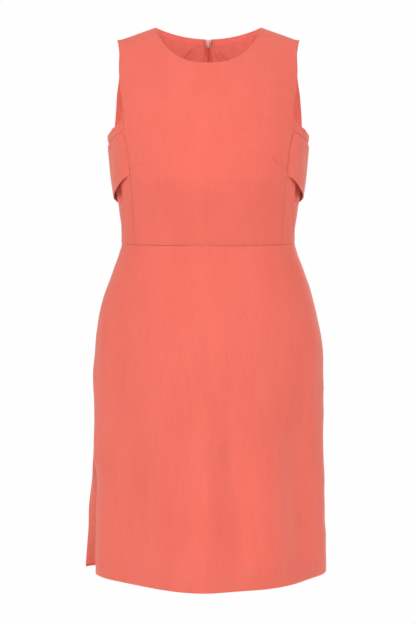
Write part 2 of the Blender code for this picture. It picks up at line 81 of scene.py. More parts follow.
SKIRT_FORM = (
    # z, half, front, back, front_flat, back_flat, front_edge, back_edge
    (-0.381, 0.1536, 0.1, 0.092, 2.0, 2.0, 0.5, 0.5),
    (-0.398, 0.1587, 0.103, 0.096, 2.0, 2.0, 0.5, 0.5),
    (-0.428, 0.1703, 0.109, 0.105, 2.0, 2.0, 0.5, 0.5),
    (-0.473, 0.1856, 0.119, 0.118, 2.0, 2.0, 0.52, 0.5),
    (-0.518, 0.1967, 0.127, 0.127, 2.0, 2.0, 0.55, 0.52),
    (-0.575, 0.2042, 0.133, 0.131, 2.0, 2.0, 0.6, 0.54),
    (-0.64, 0.2066, 0.137, 0.13, 1.95, 1.95, 0.65, 0.57),
    (-0.72, 0.2062, 0.14, 0.128, 1.92, 1.92, 0.71, 0.6),
    (-0.8, 0.209, 0.142, 0.127, 1.9, 1.9, 0.77, 0.63),
    (-0.89, 0.2122, 0.143, 0.127, 1.9, 1.9, 0.82, 0.66),
    (-0.9785, 0.2142, 0.144, 0.127, 1.9, 1.9, 0.85, 0.68),
)
FRONT_EDGE = (
    # z, x of the side-front seam, then of the front armhole
    (-0.381, 0.1295),
    (-0.311, 0.1308),
    (-0.256, 0.1365),
    (-0.218, 0.14),
    (-0.2, 0.144),
    (-0.186, 0.1475),
    (-0.162, 0.1482),
    (-0.148, 0.1472),
    (-0.135, 0.1486),
    (-0.102, 0.1545),
    (-0.076, 0.1566),
    (-0.052, 0.1563),
    (-0.0238, 0.16),
)
BACK_ARMHOLE = (
    # z, x
    (-0.19, 0.1776),
    (-0.186, 0.1735),
    (-0.176, 0.1688),
    (-0.162, 0.1674),
    (-0.147, 0.1662),
    (-0.118, 0.1642),
    (-0.098, 0.1618),
    (-0.076, 0.1592),
    (-0.052, 0.1576),
    (-0.0238, 0.16),
)
SCOOP_EDGE = (
    # share of the way from the side-front seam to the side seam, z of the armhole's lower curve
    (0.0, -0.162),
    (0.2, -0.1722),
    (0.4, -0.1785),
    (0.7, -0.1872),
    (1.0, -0.19),
)
SIDE_SEAM = (
    # z, degrees that the bodice's side seam lies in front of the side
    (-0.381, 0.0),
    (-0.365, 6.0),
    (-0.343, 14.0),
    (-0.318, 20.0),
    (-0.298, 24.0),
    (-0.268, 26.0),
    (-0.238, 22.0),
    (-0.212, 11.0),
    (-0.19, 0.0),
)
OVERLAY = (
    # angle, top, bottom, top_lift, bottom_lift
    (53.0, -0.1836, -0.26, 0.0, 0.0),
    (60.0, -0.1916, -0.269, 0.0, 0.0038),
    (68.0, -0.198, -0.2815, 0.0006, 0.0054),
    (76.0, -0.2036, -0.2915, 0.0014, 0.005),
    (86.0, -0.2106, -0.2985, 0.0018, 0.0028),
    (100.0, -0.213, -0.305, 0.001, 0.0026),
    (120.0, -0.2125, -0.3225, 0.0, 0.006),
    (145.0, -0.2125, -0.342, 0.0, 0.01),
    (165.0, -0.2125, -0.3525, 0.0, 0.008),
    (180.0, -0.2125, -0.356, 0.0, 0.002),
)
OVERLAY_CROWD = 1.25
OVERLAY_FLARE = 1.3
SKIRT_FOLDS = (
    # angle, spread, rise, start
    (-64.0, 12.0, 0.0022, -0.52),
    (-40.0, 21.0, -0.0095, -0.6),
    (-6.0, 12.0, 0.0026, -0.48),
    (14.0, 9.0, -0.0034, -0.6),
    (36.0, 12.0, 0.003, -0.54),
    (57.0, 10.0, -0.0042, -0.56),
    (74.0, 8.0, 0.0026, -0.64),
    (112.0, 13.0, -0.0034, -0.56),
    (134.0, 12.0, 0.0034, -0.6),
    (156.0, 11.0, -0.003, -0.58),
    (-116.0, 13.0, -0.0032, -0.6),
    (-138.0, 12.0, 0.003, -0.54),
    (-158.0, 10.0, -0.0028, -0.62),
)

# How far the slit's edges and the other side seam have swung at the hem, across and back, and the angle over
# which each swing fades out. The front edge swings in soon below the slit's top, the back edge evenly.
SLIT_FRONT_SHIFT = (0.0093, 0.0)
SLIT_FRONT_RUSH = 8.0
SLIT_BACK_SHIFT = (-0.0110, 0.058)
SLIT_SPREAD = 58.0
SIDE_SHIFT = (0.0014, 0.027)
SIDE_SPREAD = 42.0
SOLID_CLOTH = 0.0020
OVERLAY_GAP = 0.0009

# Centre back
BACK_EDGE = 0.00004
BACK_EDGE_AT_TOP = 0.0048
NOTCH_START = -0.048
NOTCH_END = -0.023
SETTLING_STEPS = 14

# ---------------- the cloth

CREPE_THICK = 0.0006
LINING_THICK = 0.0005
HALF_GAP = 0.00004
FOLD_STEPS = 6
ALLOWANCE_STEPS = 5
SHORTEST_FLAP = 1.3
ARC_PER_DEGREE = 0.0026

# Radii to which the edges are turned in. The cloth in the side-front seam is thicker from the height at which
# the overlay is caught in it.
SEAM_ROLL = 0.00080
CAUGHT_ROLL = 0.00140
CAUGHT_FROM = -0.270
CAUGHT_OVER = 0.012
EDGE_ROLL = 0.0008
HEM_ROLL = 0.00135
WAIST_ROLL = 0.0005

# Widths of what lies turned in behind the edges, which is trimmed away towards the corners
SEAM_ALLOWANCE = 0.011
FACED_ALLOWANCE = 0.014
HEM_ALLOWANCE = 0.036
SLIT_ALLOWANCE = 0.016
TRIM = 0.014
HEM_CLEAR = 0.032
BODICE_ENDS = (("bottom", WAIST_ROLL, SEAM_ALLOWANCE), ("top", EDGE_ROLL, FACED_ALLOWANCE))
SKIRT_ENDS = (("top", WAIST_ROLL, SEAM_ALLOWANCE), ("bottom", HEM_ROLL, HEM_ALLOWANCE, HEM_CLEAR))

# How deep the cloth sinks at the waist seam, and how far above the armhole's lower end a seam's relief stops
WAIST_DEEP = 0.5
SEAM_STOP = 0.004
SEAM_FADE = 0.006


def curve(table, at, column=1):
    """Values of a table's column at many places, by a curve that never overshoots the table's rows."""
    rows = sorted(table)
    x = np.array([row[0] for row in rows])
    y = np.array([row[column] for row in rows])
    step = np.diff(x)
    slope = np.diff(y) / step
    tangent = np.zeros(len(x))
    tangent[0] = slope[0]
    tangent[-1] = slope[-1]
    for i in range(1, len(x) - 1):
        if slope[i - 1] * slope[i] > 0:
            before = 2 * step[i] + step[i - 1]
            after = step[i] + 2 * step[i - 1]
            tangent[i] = (before + after) / (before / slope[i - 1] + after / slope[i])
    at = np.clip(at, x[0], x[-1])
    i = np.clip(np.searchsorted(x, at) - 1, 0, len(x) - 2)
    t = (at - x[i]) / step[i]
    return ((2 * t**3 - 3 * t**2 + 1) * y[i] + (t**3 - 2 * t**2 + t) * step[i] * tangent[i]
            + (3 * t**2 - 2 * t**3) * y[i + 1] + (t**3 - t**2) * step[i] * tangent[i + 1])


def ease(t):
    """Goes from 0 to 1 with no kink at either end."""
    t = np.clip(t, 0.0, 1.0)
    return t * t * (3 - 2 * t)


def even(first, last, step):
    """Places from first to last, about a step apart."""
    return np.linspace(first, last, max(1, round(abs(last - first) / step)) + 1)


def joined(*runs):
    """Runs of places, each of which starts where the one before it ends."""
    return np.concatenate([runs[0]] + [run[1:] for run in runs[1:]])


def unit(vectors):
    return vectors / np.maximum(np.linalg.norm(vectors, axis=-1, keepdims=True), 1e-12)


def signed_power(values, power):
    return np.sign(values) * np.abs(values) ** power


def reach_along(line):
    """Distance of each point of a line from its first."""
    return np.concatenate([[0.0], np.cumsum(np.linalg.norm(np.diff(line, axis=0), axis=1))])


def section(table, z, angle):
    """Points of the form, and the same as shares of its half width and depth."""
    form = {name: curve(table, z, 1 + i) for i, name in enumerate(FORM_COLUMNS)}
    turn = np.radians(np.abs(angle))
    in_front = np.abs(angle) <= 90
    flat = np.where(in_front, form["front_flat"], form["back_flat"])
    depth = np.where(in_front, form["front"], form["back"])
    edge = np.where(in_front, form["front_edge"], form["back_edge"])
    across = np.sign(angle) * np.abs(np.sin(turn)) ** (2 / flat)
    deep = -np.sign(np.cos(turn)) * np.abs(np.cos(turn)) ** (2 * edge)
    return form["half"] * across, depth * deep, across, deep


def angle_of(x, z, table=BODICE_FORM, behind=False):
    """Angle of the point of the section at distance x from the centre line."""
    half = curve(table, z)
    flat = curve(table, z, 1 + FORM_COLUMNS.index("back_flat" if behind else "front_flat"))
    turn = np.degrees(np.arcsin(np.minimum(np.abs(x) / half, 1.0) ** (flat / 2)))
    return 180.0 - turn if behind else turn


def shoulder_line(x):
    return (NECK_HALF - np.abs(x)) * SHOULDER_DROP / (SHOULDER_HALF - NECK_HALF)


def bodice_form(z, angle):
    """Points of the bodice: above the chest and the shoulder blades they close over to the shoulder seams."""
    x, y, _, _ = section(BODICE_FORM, z, angle)
    in_front = np.abs(angle) <= 90
    start, power, close = (np.where(in_front, a, b) for a, b in zip(CHEST_CLOSE, BLADE_CLOSE))
    rise = np.clip((z - start) / (shoulder_line(x) - start), 0.0, 1.0)
    y = y * (1 - rise**power) ** close
    y += np.sign(y) * SHOULDER_GAP / 2 * rise**4
    return np.stack([x, y, z + 0 * x], axis=-1)


def skirt_form(z, angle, right_back=False):
    """Points of the skirt, with its large folds and the spread of its slit."""
    x, y, across, deep = section(SKIRT_FORM, z, angle)
    length = np.hypot(across, deep)
    fold = 0.0
    for centre, spread, rise, start in SKIRT_FOLDS:
        fold = fold + rise * ease((start - z) / (start - HEM)) * np.exp(-((angle - centre) / spread) ** 2)
    points = np.stack([x + across / length * fold, y + deep / length * fold, z + 0 * x], axis=-1)
    drop = np.clip((SLIT_TOP - z) / (SLIT_TOP - HEM), 0.0, 1.0)
    near_slit = ease(1 - np.abs(angle + 90) / SLIT_SPREAD)
    near_side = ease(1 - np.abs(angle - 90) / SIDE_SPREAD)
    slit_shift = SLIT_BACK_SHIFT if right_back else SLIT_FRONT_SHIFT
    opened = drop if right_back else 1 - (1 - drop) ** SLIT_FRONT_RUSH
    for axis in (0, 1):
        points[..., axis] += np.where(angle > 0, drop * SIDE_SHIFT[axis] * near_side,
                                      opened * slit_shift[axis] * near_slit)
    return points


def top_height(x, behind):
    """Height of a bodice panel's upper edge: the neckline, and the shoulder seam beside it."""
    drop = BACK_NECK_DROP if behind else FRONT_NECK_DROP
    power, close = BACK_NECK_CURVE if behind else FRONT_NECK_CURVE
    inside = np.minimum(np.abs(x) / NECK_HALF, 1.0)
    return np.where(inside >= 1, shoulder_line(x), -drop * (1 - inside**power) ** close)


def front_edge_angle(z):
    return angle_of(curve(FRONT_EDGE, z), z)


def side_seam_angle(z):
    return 90.0 - curve(SIDE_SEAM, z)


def back_edge_angle(z):
    """The back panel's edge: the side seam and, above it, the armhole."""
    armhole = angle_of(curve(BACK_ARMHOLE, z), z, behind=True)
    return np.where(z <= UNDERARM, side_seam_angle(z), armhole)


def back_gap(z):
    """The centre back's edges part in a notch at the neck."""
    return BACK_EDGE + (BACK_EDGE_AT_TOP - BACK_EDGE) * ease((z - NOTCH_START) / (NOTCH_END - NOTCH_START))


def front_angle(z, share):
    return front_edge_angle(z) * share


def back_angle(z, share):
    middle = angle_of(back_gap(z), z, behind=True)
    return middle + (back_edge_angle(z) - middle) * share


def top_of_columns(shares, behind):
    """Heights at which a bodice panel's columns meet its upper edge, found in small steps."""
    z = 0.0 * shares
    for _ in range(SETTLING_STEPS):
        angle = back_angle(z, shares) if behind else front_angle(z, shares)
        z = 0.5 * (z + top_height(section(BODICE_FORM, z, angle)[0], behind))
    return z


def neck_share(behind):
    """The column that ends where the shoulder seam meets the neckline."""
    corner = float(angle_of(NECK_HALF, 0.0, behind=behind))
    if not behind:
        return corner / float(front_edge_angle(0.0))
    middle = float(angle_of(back_gap(0.0), 0.0, behind=True))
    return (corner - middle) / (float(back_edge_angle(np.float64(0.0))) - middle)


def facing_out(points):
    """Unit normals of a grid of points."""
    return unit(np.cross(np.gradient(points, axis=1), np.gradient(points, axis=0)))


def arc_from(points, edge):
    """Distance over the cloth of each point of a grid from one of its edges."""
    axis = 1 if edge in ("left", "right") else 0
    step = np.linalg.norm(np.diff(points, axis=axis), axis=2)
    reach = np.cumsum(step, axis=axis)
    pad = np.zeros_like(np.take(reach, [0], axis=axis))
    reach = np.concatenate([pad, reach], axis=axis)
    if edge in ("right", "top"):
        reach = np.take(reach, [-1], axis=axis) - reach
    return reach


# ---------------- folds and creases

def crease(across, up, start, end, bend, width, rise, fade_in, fade_out):
    """A soft ridge, or a trough where rise is negative, along a bent line from start to end."""
    (dx, dz), length = np.subtract(end, start), math.dist(start, end)
    along = ((across - start[0]) * dx + (up - start[1]) * dz) / length**2
    off = ((up - start[1]) * dx - (across - start[0]) * dz) / length
    clipped = np.clip(along, 0.0, 1.0)
    off = off - bend * 4 * clipped * (1 - clipped)
    past = (along - clipped) * length
    envelope = 1.0
    if fade_in:
        envelope = envelope * ease(clipped / fade_in)
    if fade_out:
        envelope = envelope * ease((1 - clipped) / fade_out)
    return rise * envelope * np.exp(-(off**2 + past**2) / width**2)


RIPPLE_WAVES = 10


def ripple(points, shortest, longest, height, seed):
    """Soft unevenness with no direction, the same wherever panels meet."""
    dice = np.random.default_rng(seed)
    total = 0.0
    for _ in range(RIPPLE_WAVES):
        direction = dice.normal(size=3)
        direction /= np.linalg.norm(direction)
        length = shortest * (longest / shortest) ** dice.random()
        total = total + np.sin(2 * math.pi * (points @ direction) / length + dice.random() * 2 * math.pi)
    return total * height / math.sqrt(RIPPLE_WAVES / 2)


# Unevenness of each kind: shortest and longest wave, height and seed
BODICE_BROAD = (0.070, 0.160, 0.00055, 11)
BODICE_FINE = (0.028, 0.050, 0.00012, 12)
SKIRT_BROAD = (0.090, 0.210, 0.00075, 21)
SKIRT_FINE = (0.030, 0.055, 0.00014, 22)
OVERLAY_RIPPLE = (0.060, 0.120, 0.0003, 31)
FACING_RIPPLE = (0.016, 0.040, 0.00025, 41)

# The height above which the bodice gets calmer, over what height, and by what share
CALM = (-0.05, 0.05, 0.85)
# How loose the skirt is at the waist, the depth below it at which it is wholly so, and the depth that the
# seam keeps still
LOOSE_AT_WAIST = 0.45
LOOSE_BELOW = 0.35
STILL_BELOW = 0.03
# The angle at which the front's creases have faded out into the back's, and over how many degrees
BODICE_SIDES = (95, 10)
SKIRT_SIDES = (92, 4)

SEAM_DIP = 0.00035
SEAM_DIP_REACH = 0.0035
PUCKER_HEIGHT = 0.00016
PUCKER_LENGTH = 0.0105
PUCKER_SWELL = 0.083
PUCKER_DRIFT = 0.047
PUCKER_AT = 0.003
PUCKER_REACH = 0.009
PRESSED_HEIGHT = 0.00080
PRESSED_AT = 0.0038
PRESSED_REACH = 0.0023
NECK_PRESSED = 0.3 * PRESSED_HEIGHT
SIDE_PRESSED = 1.2 * PRESSED_HEIGHT
FRONT_SEAM_DEEP = 2.6
TOP_SEAM_DEEP = 1.5


def seam_relief(away, along, deep=1.0):
    """The cloth beside a seam: it sinks towards the stitches and puckers a little along them."""
    uneven = 0.6 + 0.4 * np.sin(2 * math.pi * along / PUCKER_SWELL + 0.7)
    pucker = np.sin(2 * math.pi * along / PUCKER_LENGTH + 1.6 * np.sin(2 * math.pi * along / PUCKER_DRIFT))
    return (-SEAM_DIP * deep * np.exp(-away / SEAM_DIP_REACH)
            + PUCKER_HEIGHT * uneven * pucker * np.exp(-((away - PUCKER_AT) / PUCKER_REACH) ** 2))


def waist_seam(points, edge, angle):
    return seam_relief(arc_from(points, edge), angle * ARC_PER_DEGREE, WAIST_DEEP)


def pressed(away, height=PRESSED_HEIGHT):
    """The low ridge beside an edge, where allowances pressed to that side show through."""
    return height * np.exp(-((away - PRESSED_AT) / PRESSED_REACH) ** 2)


# Each row of these: start x, start z, end x, end z, bend, width, rise, fade_in, fade_out
FRONT_CREASES = (
    (-0.15, -0.052, -0.098, -0.118, 0.006, 0.02, -0.0016, 0.3, 0.5),
    (0.15, -0.048, 0.104, -0.112, -0.006, 0.021, -0.0018, 0.3, 0.5),
    (-0.146, -0.135, -0.092, -0.172, 0.004, 0.012, -0.0007, 0.2, 0.6),
    (0.146, -0.13, 0.096, -0.176, -0.005, 0.013, -0.0008, 0.2, 0.6),
    (-0.045, -0.232, -0.062, -0.262, 0.002, 0.013, -0.0007, 0.4, 0.5),
    (0.02, -0.222, 0.044, -0.236, 0.003, 0.014, -0.0005, 0.4, 0.5),
    (0.118, -0.222, 0.108, -0.258, 0.004, 0.01, -0.0007, 0.4, 0.5),
    (-0.108, -0.236, -0.076, -0.226, 0.003, 0.009, -0.0006, 0.2, 0.7),
    (0.108, -0.232, 0.08, -0.216, -0.003, 0.009, -0.0007, 0.2, 0.7),
    (-0.126, -0.29, -0.096, -0.33, 0.004, 0.012, -0.0006, 0.3, 0.6),
    (0.124, -0.286, 0.092, -0.338, -0.005, 0.014, -0.0008, 0.3, 0.6),
    (-0.07, -0.374, -0.055, -0.338, 0.002, 0.01, -0.0005, 0.1, 0.7),
    (0.03, -0.376, 0.026, -0.346, 0.002, 0.009, 0.0004, 0.1, 0.7),
    (0.086, -0.374, 0.078, -0.33, -0.003, 0.012, -0.0006, 0.1, 0.7),
    (-0.172, -0.1893, -0.157, -0.1835, 0.001, 0.0028, -0.0018, 0.2, 0.4),
    (-0.17, -0.183, -0.159, -0.1775, 0.001, 0.003, 0.0012, 0.3, 0.4),
    (0.1575, -0.174, 0.169, -0.1885, 0.001, 0.0026, -0.0018, 0.3, 0.3),
    (0.162, -0.1705, 0.172, -0.183, 0.001, 0.0026, 0.0012, 0.3, 0.3),
    # The bust darts, each a stitched line and the cloth that it pulls in
    (0.135, -0.249, 0.1063, -0.229, 0.001, 0.0011, -0.0022, 0.0, 0.3),
    (0.135, -0.249, 0.1063, -0.229, 0.001, 0.006, -0.0011, 0.0, 0.3),
    (-0.1352, -0.249, -0.115, -0.236, -0.001, 0.0011, -0.0016, 0.0, 0.3),
    (-0.1352, -0.249, -0.115, -0.236, -0.001, 0.006, -0.0008, 0.0, 0.3),
)
BACK_CREASES = (
    (-0.12, -0.06, -0.05, -0.12, 0.006, 0.022, -0.0014, 0.4, 0.5),
    (0.116, -0.066, 0.052, -0.132, -0.007, 0.02, -0.0015, 0.4, 0.5),
    (-0.01, -0.088, -0.07, -0.102, 0.004, 0.011, -0.0007, 0.1, 0.6),
    (0.01, -0.112, 0.064, -0.13, 0.004, 0.012, -0.0006, 0.1, 0.6),
    (0.008, -0.16, 0.08, -0.168, 0.004, 0.014, -0.0007, 0.1, 0.6),
    (-0.008, -0.172, -0.086, -0.186, 0.005, 0.013, 0.0006, 0.1, 0.6),
    (-0.15, -0.15, -0.11, -0.19, 0.004, 0.012, -0.0008, 0.2, 0.6),
    (0.152, -0.146, 0.108, -0.182, -0.004, 0.012, -0.0007, 0.2, 0.6),
    # The darts up from the waist
    (0.076, WAIST, 0.083, -0.235, 0.0, 0.0016, -0.0006, 0.0, 0.4),
    (-0.076, WAIST, -0.083, -0.235, 0.0, 0.0016, -0.0006, 0.0, 0.4),
)
SKIRT_CREASES = (
    (-0.028, -0.45, -0.022, -0.7, 0.004, 0.02, 0.003, 0.4, 0.5),
    (-0.003, -0.47, 0.004, -0.68, 0.002, 0.014, -0.0034, 0.4, 0.5),
    (0.03, -0.6, 0.07, -0.975, -0.004, 0.025, -0.0125, 0.4, 0.25),
    (-0.024, -0.68, -0.016, -0.96, 0.003, 0.022, 0.0034, 0.4, 0.2),
    (-0.076, -0.48, -0.064, -0.6, 0.004, 0.016, 0.002, 0.4, 0.5),
    (0.178, -0.44, 0.183, -0.96, 0.003, 0.01, 0.0026, 0.3, 0.2),
    (-0.186, -0.47, -0.186, -0.68, 0.003, 0.01, 0.0018, 0.3, 0.4),
    (0.144, -0.64, 0.158, -0.975, 0.006, 0.021, -0.006, 0.4, 0.2),
    (0.06, -0.43, 0.076, -0.54, 0.004, 0.018, -0.0018, 0.3, 0.5),
    (-0.15, -0.76, -0.146, -0.975, 0.004, 0.022, -0.0038, 0.4, 0.1),
    (0.112, -0.68, 0.12, -0.975, -0.004, 0.022, 0.0034, 0.4, 0.1),
    (-0.11, -0.395, -0.118, -0.47, 0.004, 0.012, -0.001, 0.1, 0.6),
    (0.112, -0.392, 0.12, -0.46, -0.003, 0.012, -0.0011, 0.1, 0.6),
)
SKIRT_BACK_CREASES = (
    (-0.05, -0.52, -0.04, -0.8, 0.006, 0.018, 0.0014, 0.4, 0.5),
    (0.046, -0.5, 0.06, -0.76, -0.006, 0.018, -0.0014, 0.4, 0.5),
    (0.13, -0.56, 0.14, -0.975, 0.006, 0.02, -0.0018, 0.4, 0.0),
    (-0.12, -0.6, -0.14, -0.975, 0.006, 0.02, -0.0016, 0.4, 0.0),
    (0.02, -0.68, 0.028, -0.975, 0.004, 0.016, 0.0012, 0.4, 0.0),
    (-0.088, -0.64, -0.084, -0.975, 0.004, 0.018, 0.0014, 0.4, 0.0),
    (-0.014, -0.6, -0.06, -0.64, 0.004, 0.012, -0.0008, 0.1, 0.6),
    (0.014, -0.57, 0.05, -0.6, 0.004, 0.012, -0.0007, 0.1, 0.6),
    # The darts down from the waist
    (0.076, WAIST, 0.084, -0.49, 0.0, 0.0016, -0.0006, 0.0, 0.4),
    (-0.076, WAIST, -0.084, -0.49, 0.0, 0.0016, -0.0006, 0.0, 0.4),
)


def laid_creases(across, up, table, scale=1.0):
    """All the creases of a table, whose distances across are in a unit of that scale."""
    return sum(crease(across, up, (x0 * scale, z0), (x1 * scale, z1), *shape)
               for x0, z0, x1, z1, *shape in table)


def front_and_back(points, angle, sides, front, back):
    """The creases of the front and of the back, which fade into each other at the sides."""
    in_front = ease((sides[0] - np.abs(angle)) / sides[1])
    across, up = points[..., 0], points[..., 2]
    return in_front * laid_creases(across, up, front) + (1 - in_front) * laid_creases(across, up, back)


def bodice_relief(points, angle):
    """Unevenness, creases and darts of the bodice."""
    start, over, share = CALM
    calm = 1 - share * ease((points[..., 2] - start) / over)
    return ((ripple(points, *BODICE_BROAD) + ripple(points, *BODICE_FINE)) * calm
            + front_and_back(points, angle, BODICE_SIDES, FRONT_CREASES, BACK_CREASES))


def skirt_relief(points, angle):
    """Unevenness, creases and darts of the skirt, looser towards the hem."""
    below = WAIST - points[..., 2]
    loose = LOOSE_AT_WAIST + (1 - LOOSE_AT_WAIST) * ease(below / LOOSE_BELOW)
    return ((ripple(points, *SKIRT_BROAD) * loose + ripple(points, *SKIRT_FINE)) * ease(below / STILL_BELOW)
            + front_and_back(points, angle, SKIRT_SIDES, SKIRT_CREASES, SKIRT_BACK_CREASES))


# ---------------- making the cloth

def turn_in(cloth, edge, radius, width, clear=0.0):
    """Folds an edge of the cloth in, round a small radius, the same all along or one for each row, and lays
    its allowance flat inside, trimmed away towards the corners."""
    upright = edge in ("top", "bottom")
    from_start = edge in ("left", "bottom")
    grid = cloth.swapaxes(0, 1) if upright else cloth
    grid = grid[:, ::-1] if from_start else grid
    run = reach_along(grid[:, -1, :3])
    trim = ease((np.minimum(run, run[-1] - run) - clear) / TRIM)
    bend = np.linspace(0.0, math.pi, FOLD_STEPS + 1)[1:]
    steps = np.linspace(0.0, 1.0, ALLOWANCE_STEPS + 1)[1:]
    made = np.empty((len(grid), grid.shape[1] + FOLD_STEPS + ALLOWANCE_STEPS, grid.shape[2]))
    for i, (line, radius) in enumerate(zip(grid, np.broadcast_to(radius, len(grid)))):
        reach = reach_along(line[:, :3])
        total = reach[-1] - HALF_GAP
        deep = line[-1, 6]
        flat = reach * (total - radius) / reach[-1]
        shortest = SHORTEST_FLAP * radius
        flap = radius + steps * (shortest - radius + (width - shortest) * trim[i])
        places = np.concatenate([flat, total - radius + (radius - deep) * np.sin(bend), total - flap])
        for channel in range(grid.shape[2]):
            made[i, :, channel] = np.interp(places, reach, line[:, channel])
        count = len(line)
        made[i, count:count + FOLD_STEPS, 6] = radius - (radius - deep) * np.cos(bend)
        made[i, count + FOLD_STEPS:, 6] = 2 * radius - deep
    made = made[:, ::-1] if from_start else made
    return made.swapaxes(0, 1) if upright else made


def new_object(name, mesh, material):
    thing = bpy.data.objects.new(name, mesh)
    mesh.materials.append(material)
    bpy.context.scene.collection.objects.link(thing)
    return thing


def mesh_of(name, points, faces):
    mesh = bpy.data.meshes.new(name)
    mesh.from_pydata(points, [], faces)
    mesh.update()
    mesh.shade_smooth()
    return mesh


def shell(name, face, thickness, material):
    """A closed shell of cloth behind a grid of points."""
    rows, columns = face.shape[:2]
    back = face - facing_out(face) * thickness
    points = np.concatenate([face.reshape(-1, 3), back.reshape(-1, 3)])
    index = np.arange(rows * columns).reshape(rows, columns)
    quads = np.stack([index[:-1, :-1], index[:-1, 1:], index[1:, 1:], index[1:, :-1]], axis=2).reshape(-1, 4)
    rim = np.concatenate([index[0, :-1], index[:-1, -1], index[-1, :0:-1], index[:0:-1, 0]])
    after = np.roll(rim, -1)
    behind = rows * columns
    sides = np.stack([after, rim, rim + behind, after + behind], axis=1)
    faces = np.concatenate([quads, quads[:, ::-1] + behind, sides])
    mesh = mesh_of(name, points.tolist(), faces.tolist())
    return new_object(name, mesh, material)


def panel(name, points, relief, material, folds, thickness=CREPE_THICK):
    """The shell of a piece of cloth: its grid is moved out by its relief and its edges are turned in, in the
    order given. Meanwhile a grid holds each place's point, outward direction and depth below the face."""
    points = points + facing_out(points) * relief[..., None]
    cloth = np.concatenate([points, facing_out(points), np.zeros(points.shape[:2] + (1,))], axis=2)
    for fold in folds:
        cloth = turn_in(cloth, *fold)
    return shell(name, cloth[..., :3] - cloth[..., 3:6] * cloth[..., 6:], thickness, material)


def side_folds(roll):
    return ("left", roll, SEAM_ALLOWANCE), ("right", roll, SEAM_ALLOWANCE)


def in_order(side, *grids):
    """Grids as they are for one side of the dress, and with their columns reversed for the other."""
    return grids if side > 0 else tuple(grid[:, ::-1] for grid in grids)


def ends(side):
    """The edges of a side's panel, the one nearer the front first."""
    return ("left", "right") if side > 0 else ("right", "left")


# ---------------- the panels

def bodice_heights(runs, tops, upper_rows):
    """Heights of a bodice panel's rows for each column: given runs below, then closer and closer."""
    low = np.repeat(runs[:, None], len(tops), axis=1)
    climb = np.sin(np.linspace(0, math.pi / 2, upper_rows + 1))[1:]
    return np.concatenate([low, runs[-1] + (tops[None] - runs[-1]) * climb[:, None]])


def front_bodice(material):
    """Its grid is finest along the neckline, by the side-front seams and at the height of the bust darts."""
    corner = neck_share(False)
    to_corner = corner * (1 - (1 - np.linspace(0, 1, 33)) ** 1.5)
    half = joined(to_corner, even(corner, 0.68, 0.018), even(0.68, 1.0, 0.0085))
    shares = np.concatenate([-half[:0:-1], half])
    runs = joined(even(WAIST, -0.262, 0.0030), even(-0.262, -0.224, 0.0010), even(-0.224, SCOOP, 0.0025))
    z = bodice_heights(runs, top_of_columns(np.abs(shares), False), 64)
    angle = front_angle(z, np.abs(shares)[None]) * np.sign(shares)[None]
    points = bodice_form(z, angle)
    beside = np.minimum(arc_from(points, "left"), arc_from(points, "right"))
    relief = (bodice_relief(points, angle) + pressed(beside)
              + seam_relief(beside, z, FRONT_SEAM_DEEP) * ease((SCOOP + SEAM_STOP - z) / SEAM_FADE)
              + pressed(arc_from(points, "top"), NECK_PRESSED) + waist_seam(points, "bottom", angle))
    roll = SEAM_ROLL + (CAUGHT_ROLL - SEAM_ROLL) * ease((z[:, 0] - CAUGHT_FROM) / CAUGHT_OVER)
    return panel("front_bodice_cloth", points, relief, material, side_folds(roll) + BODICE_ENDS)


# The overlay presses the side panel in beside the seam that it is caught in, from a little above its lower
# edge, with a fade there and at its upper edge
SUNK = 0.0023
SUNK_REACH = 0.016
SUNK_ABOVE = 0.002
SUNK_FADES = (0.010, 0.008)
# The line of stitches along the overlay's upper edge sinks into the side panel just above it
STITCHED_DIP = 0.0030
STITCHED_ABOVE = 0.0011
STITCHED_REACH = 0.0016
# Under the overlay's lower edge the back panel steps back behind the side seam, into a shaded pocket
RECESS = 0.0220
RECESS_WALL = 0.0016
RECESS_REACH = 0.026
RECESS_BELOW = 0.027
RECESS_ABOVE = 0.070
RECESS_FADE = 0.020
STEP_BACK = 0.0013
STEP_BOTTOM = -0.350
STEP_TOP = -0.200


def overlay_place(z, angle):
    """Where on the overlay's table a point lies, from the side-front seam to the centre back."""
    start = front_edge_angle(z)
    end = angle_of(BACK_EDGE, z, behind=True)
    first = OVERLAY[0][0]
    return first + (180.0 - first) * np.clip((np.abs(angle) - start) / (end - start), 0.0, 1.0)


def side_front(side, name, material):
    """Its upper part lies under the overlay, which is caught in the same seam and presses it in there."""
    shares = np.linspace(0, 1, 31)
    rows = joined(even(0, 0.5, 0.0105), even(0.5, 0.66, 0.006), even(0.66, 1.0, 0.009))
    z = WAIST + (curve(SCOOP_EDGE, shares)[None] - WAIST) * rows[:, None]
    first = front_edge_angle(np.minimum(z, SCOOP))
    angle = side * (first + (side_seam_angle(z) - first) * shares[None])
    z, angle = in_order(side, z, angle)
    points = bodice_form(z, angle)
    front, back = (arc_from(points, edge) for edge in ends(side))
    place = overlay_place(z, angle)
    above_top, above_bottom = (z - curve(OVERLAY, place, column) for column in (1, 2))
    covered = ease((above_bottom - SUNK_ABOVE) / SUNK_FADES[0]) * ease(-above_top / SUNK_FADES[1])
    relief = (bodice_relief(points, angle) + waist_seam(points, "bottom", angle)
              + seam_relief(front, z, FRONT_SEAM_DEEP) + seam_relief(back, z, 0.0)
              + pressed(back, SIDE_PRESSED)
              - SUNK * covered * np.exp(-(front / SUNK_REACH) ** 2)
              - STITCHED_DIP * np.exp(-((above_top - STITCHED_ABOVE) / STITCHED_REACH) ** 2))
    return panel(name, points, relief, material, side_folds(SEAM_ROLL) + BODICE_ENDS)


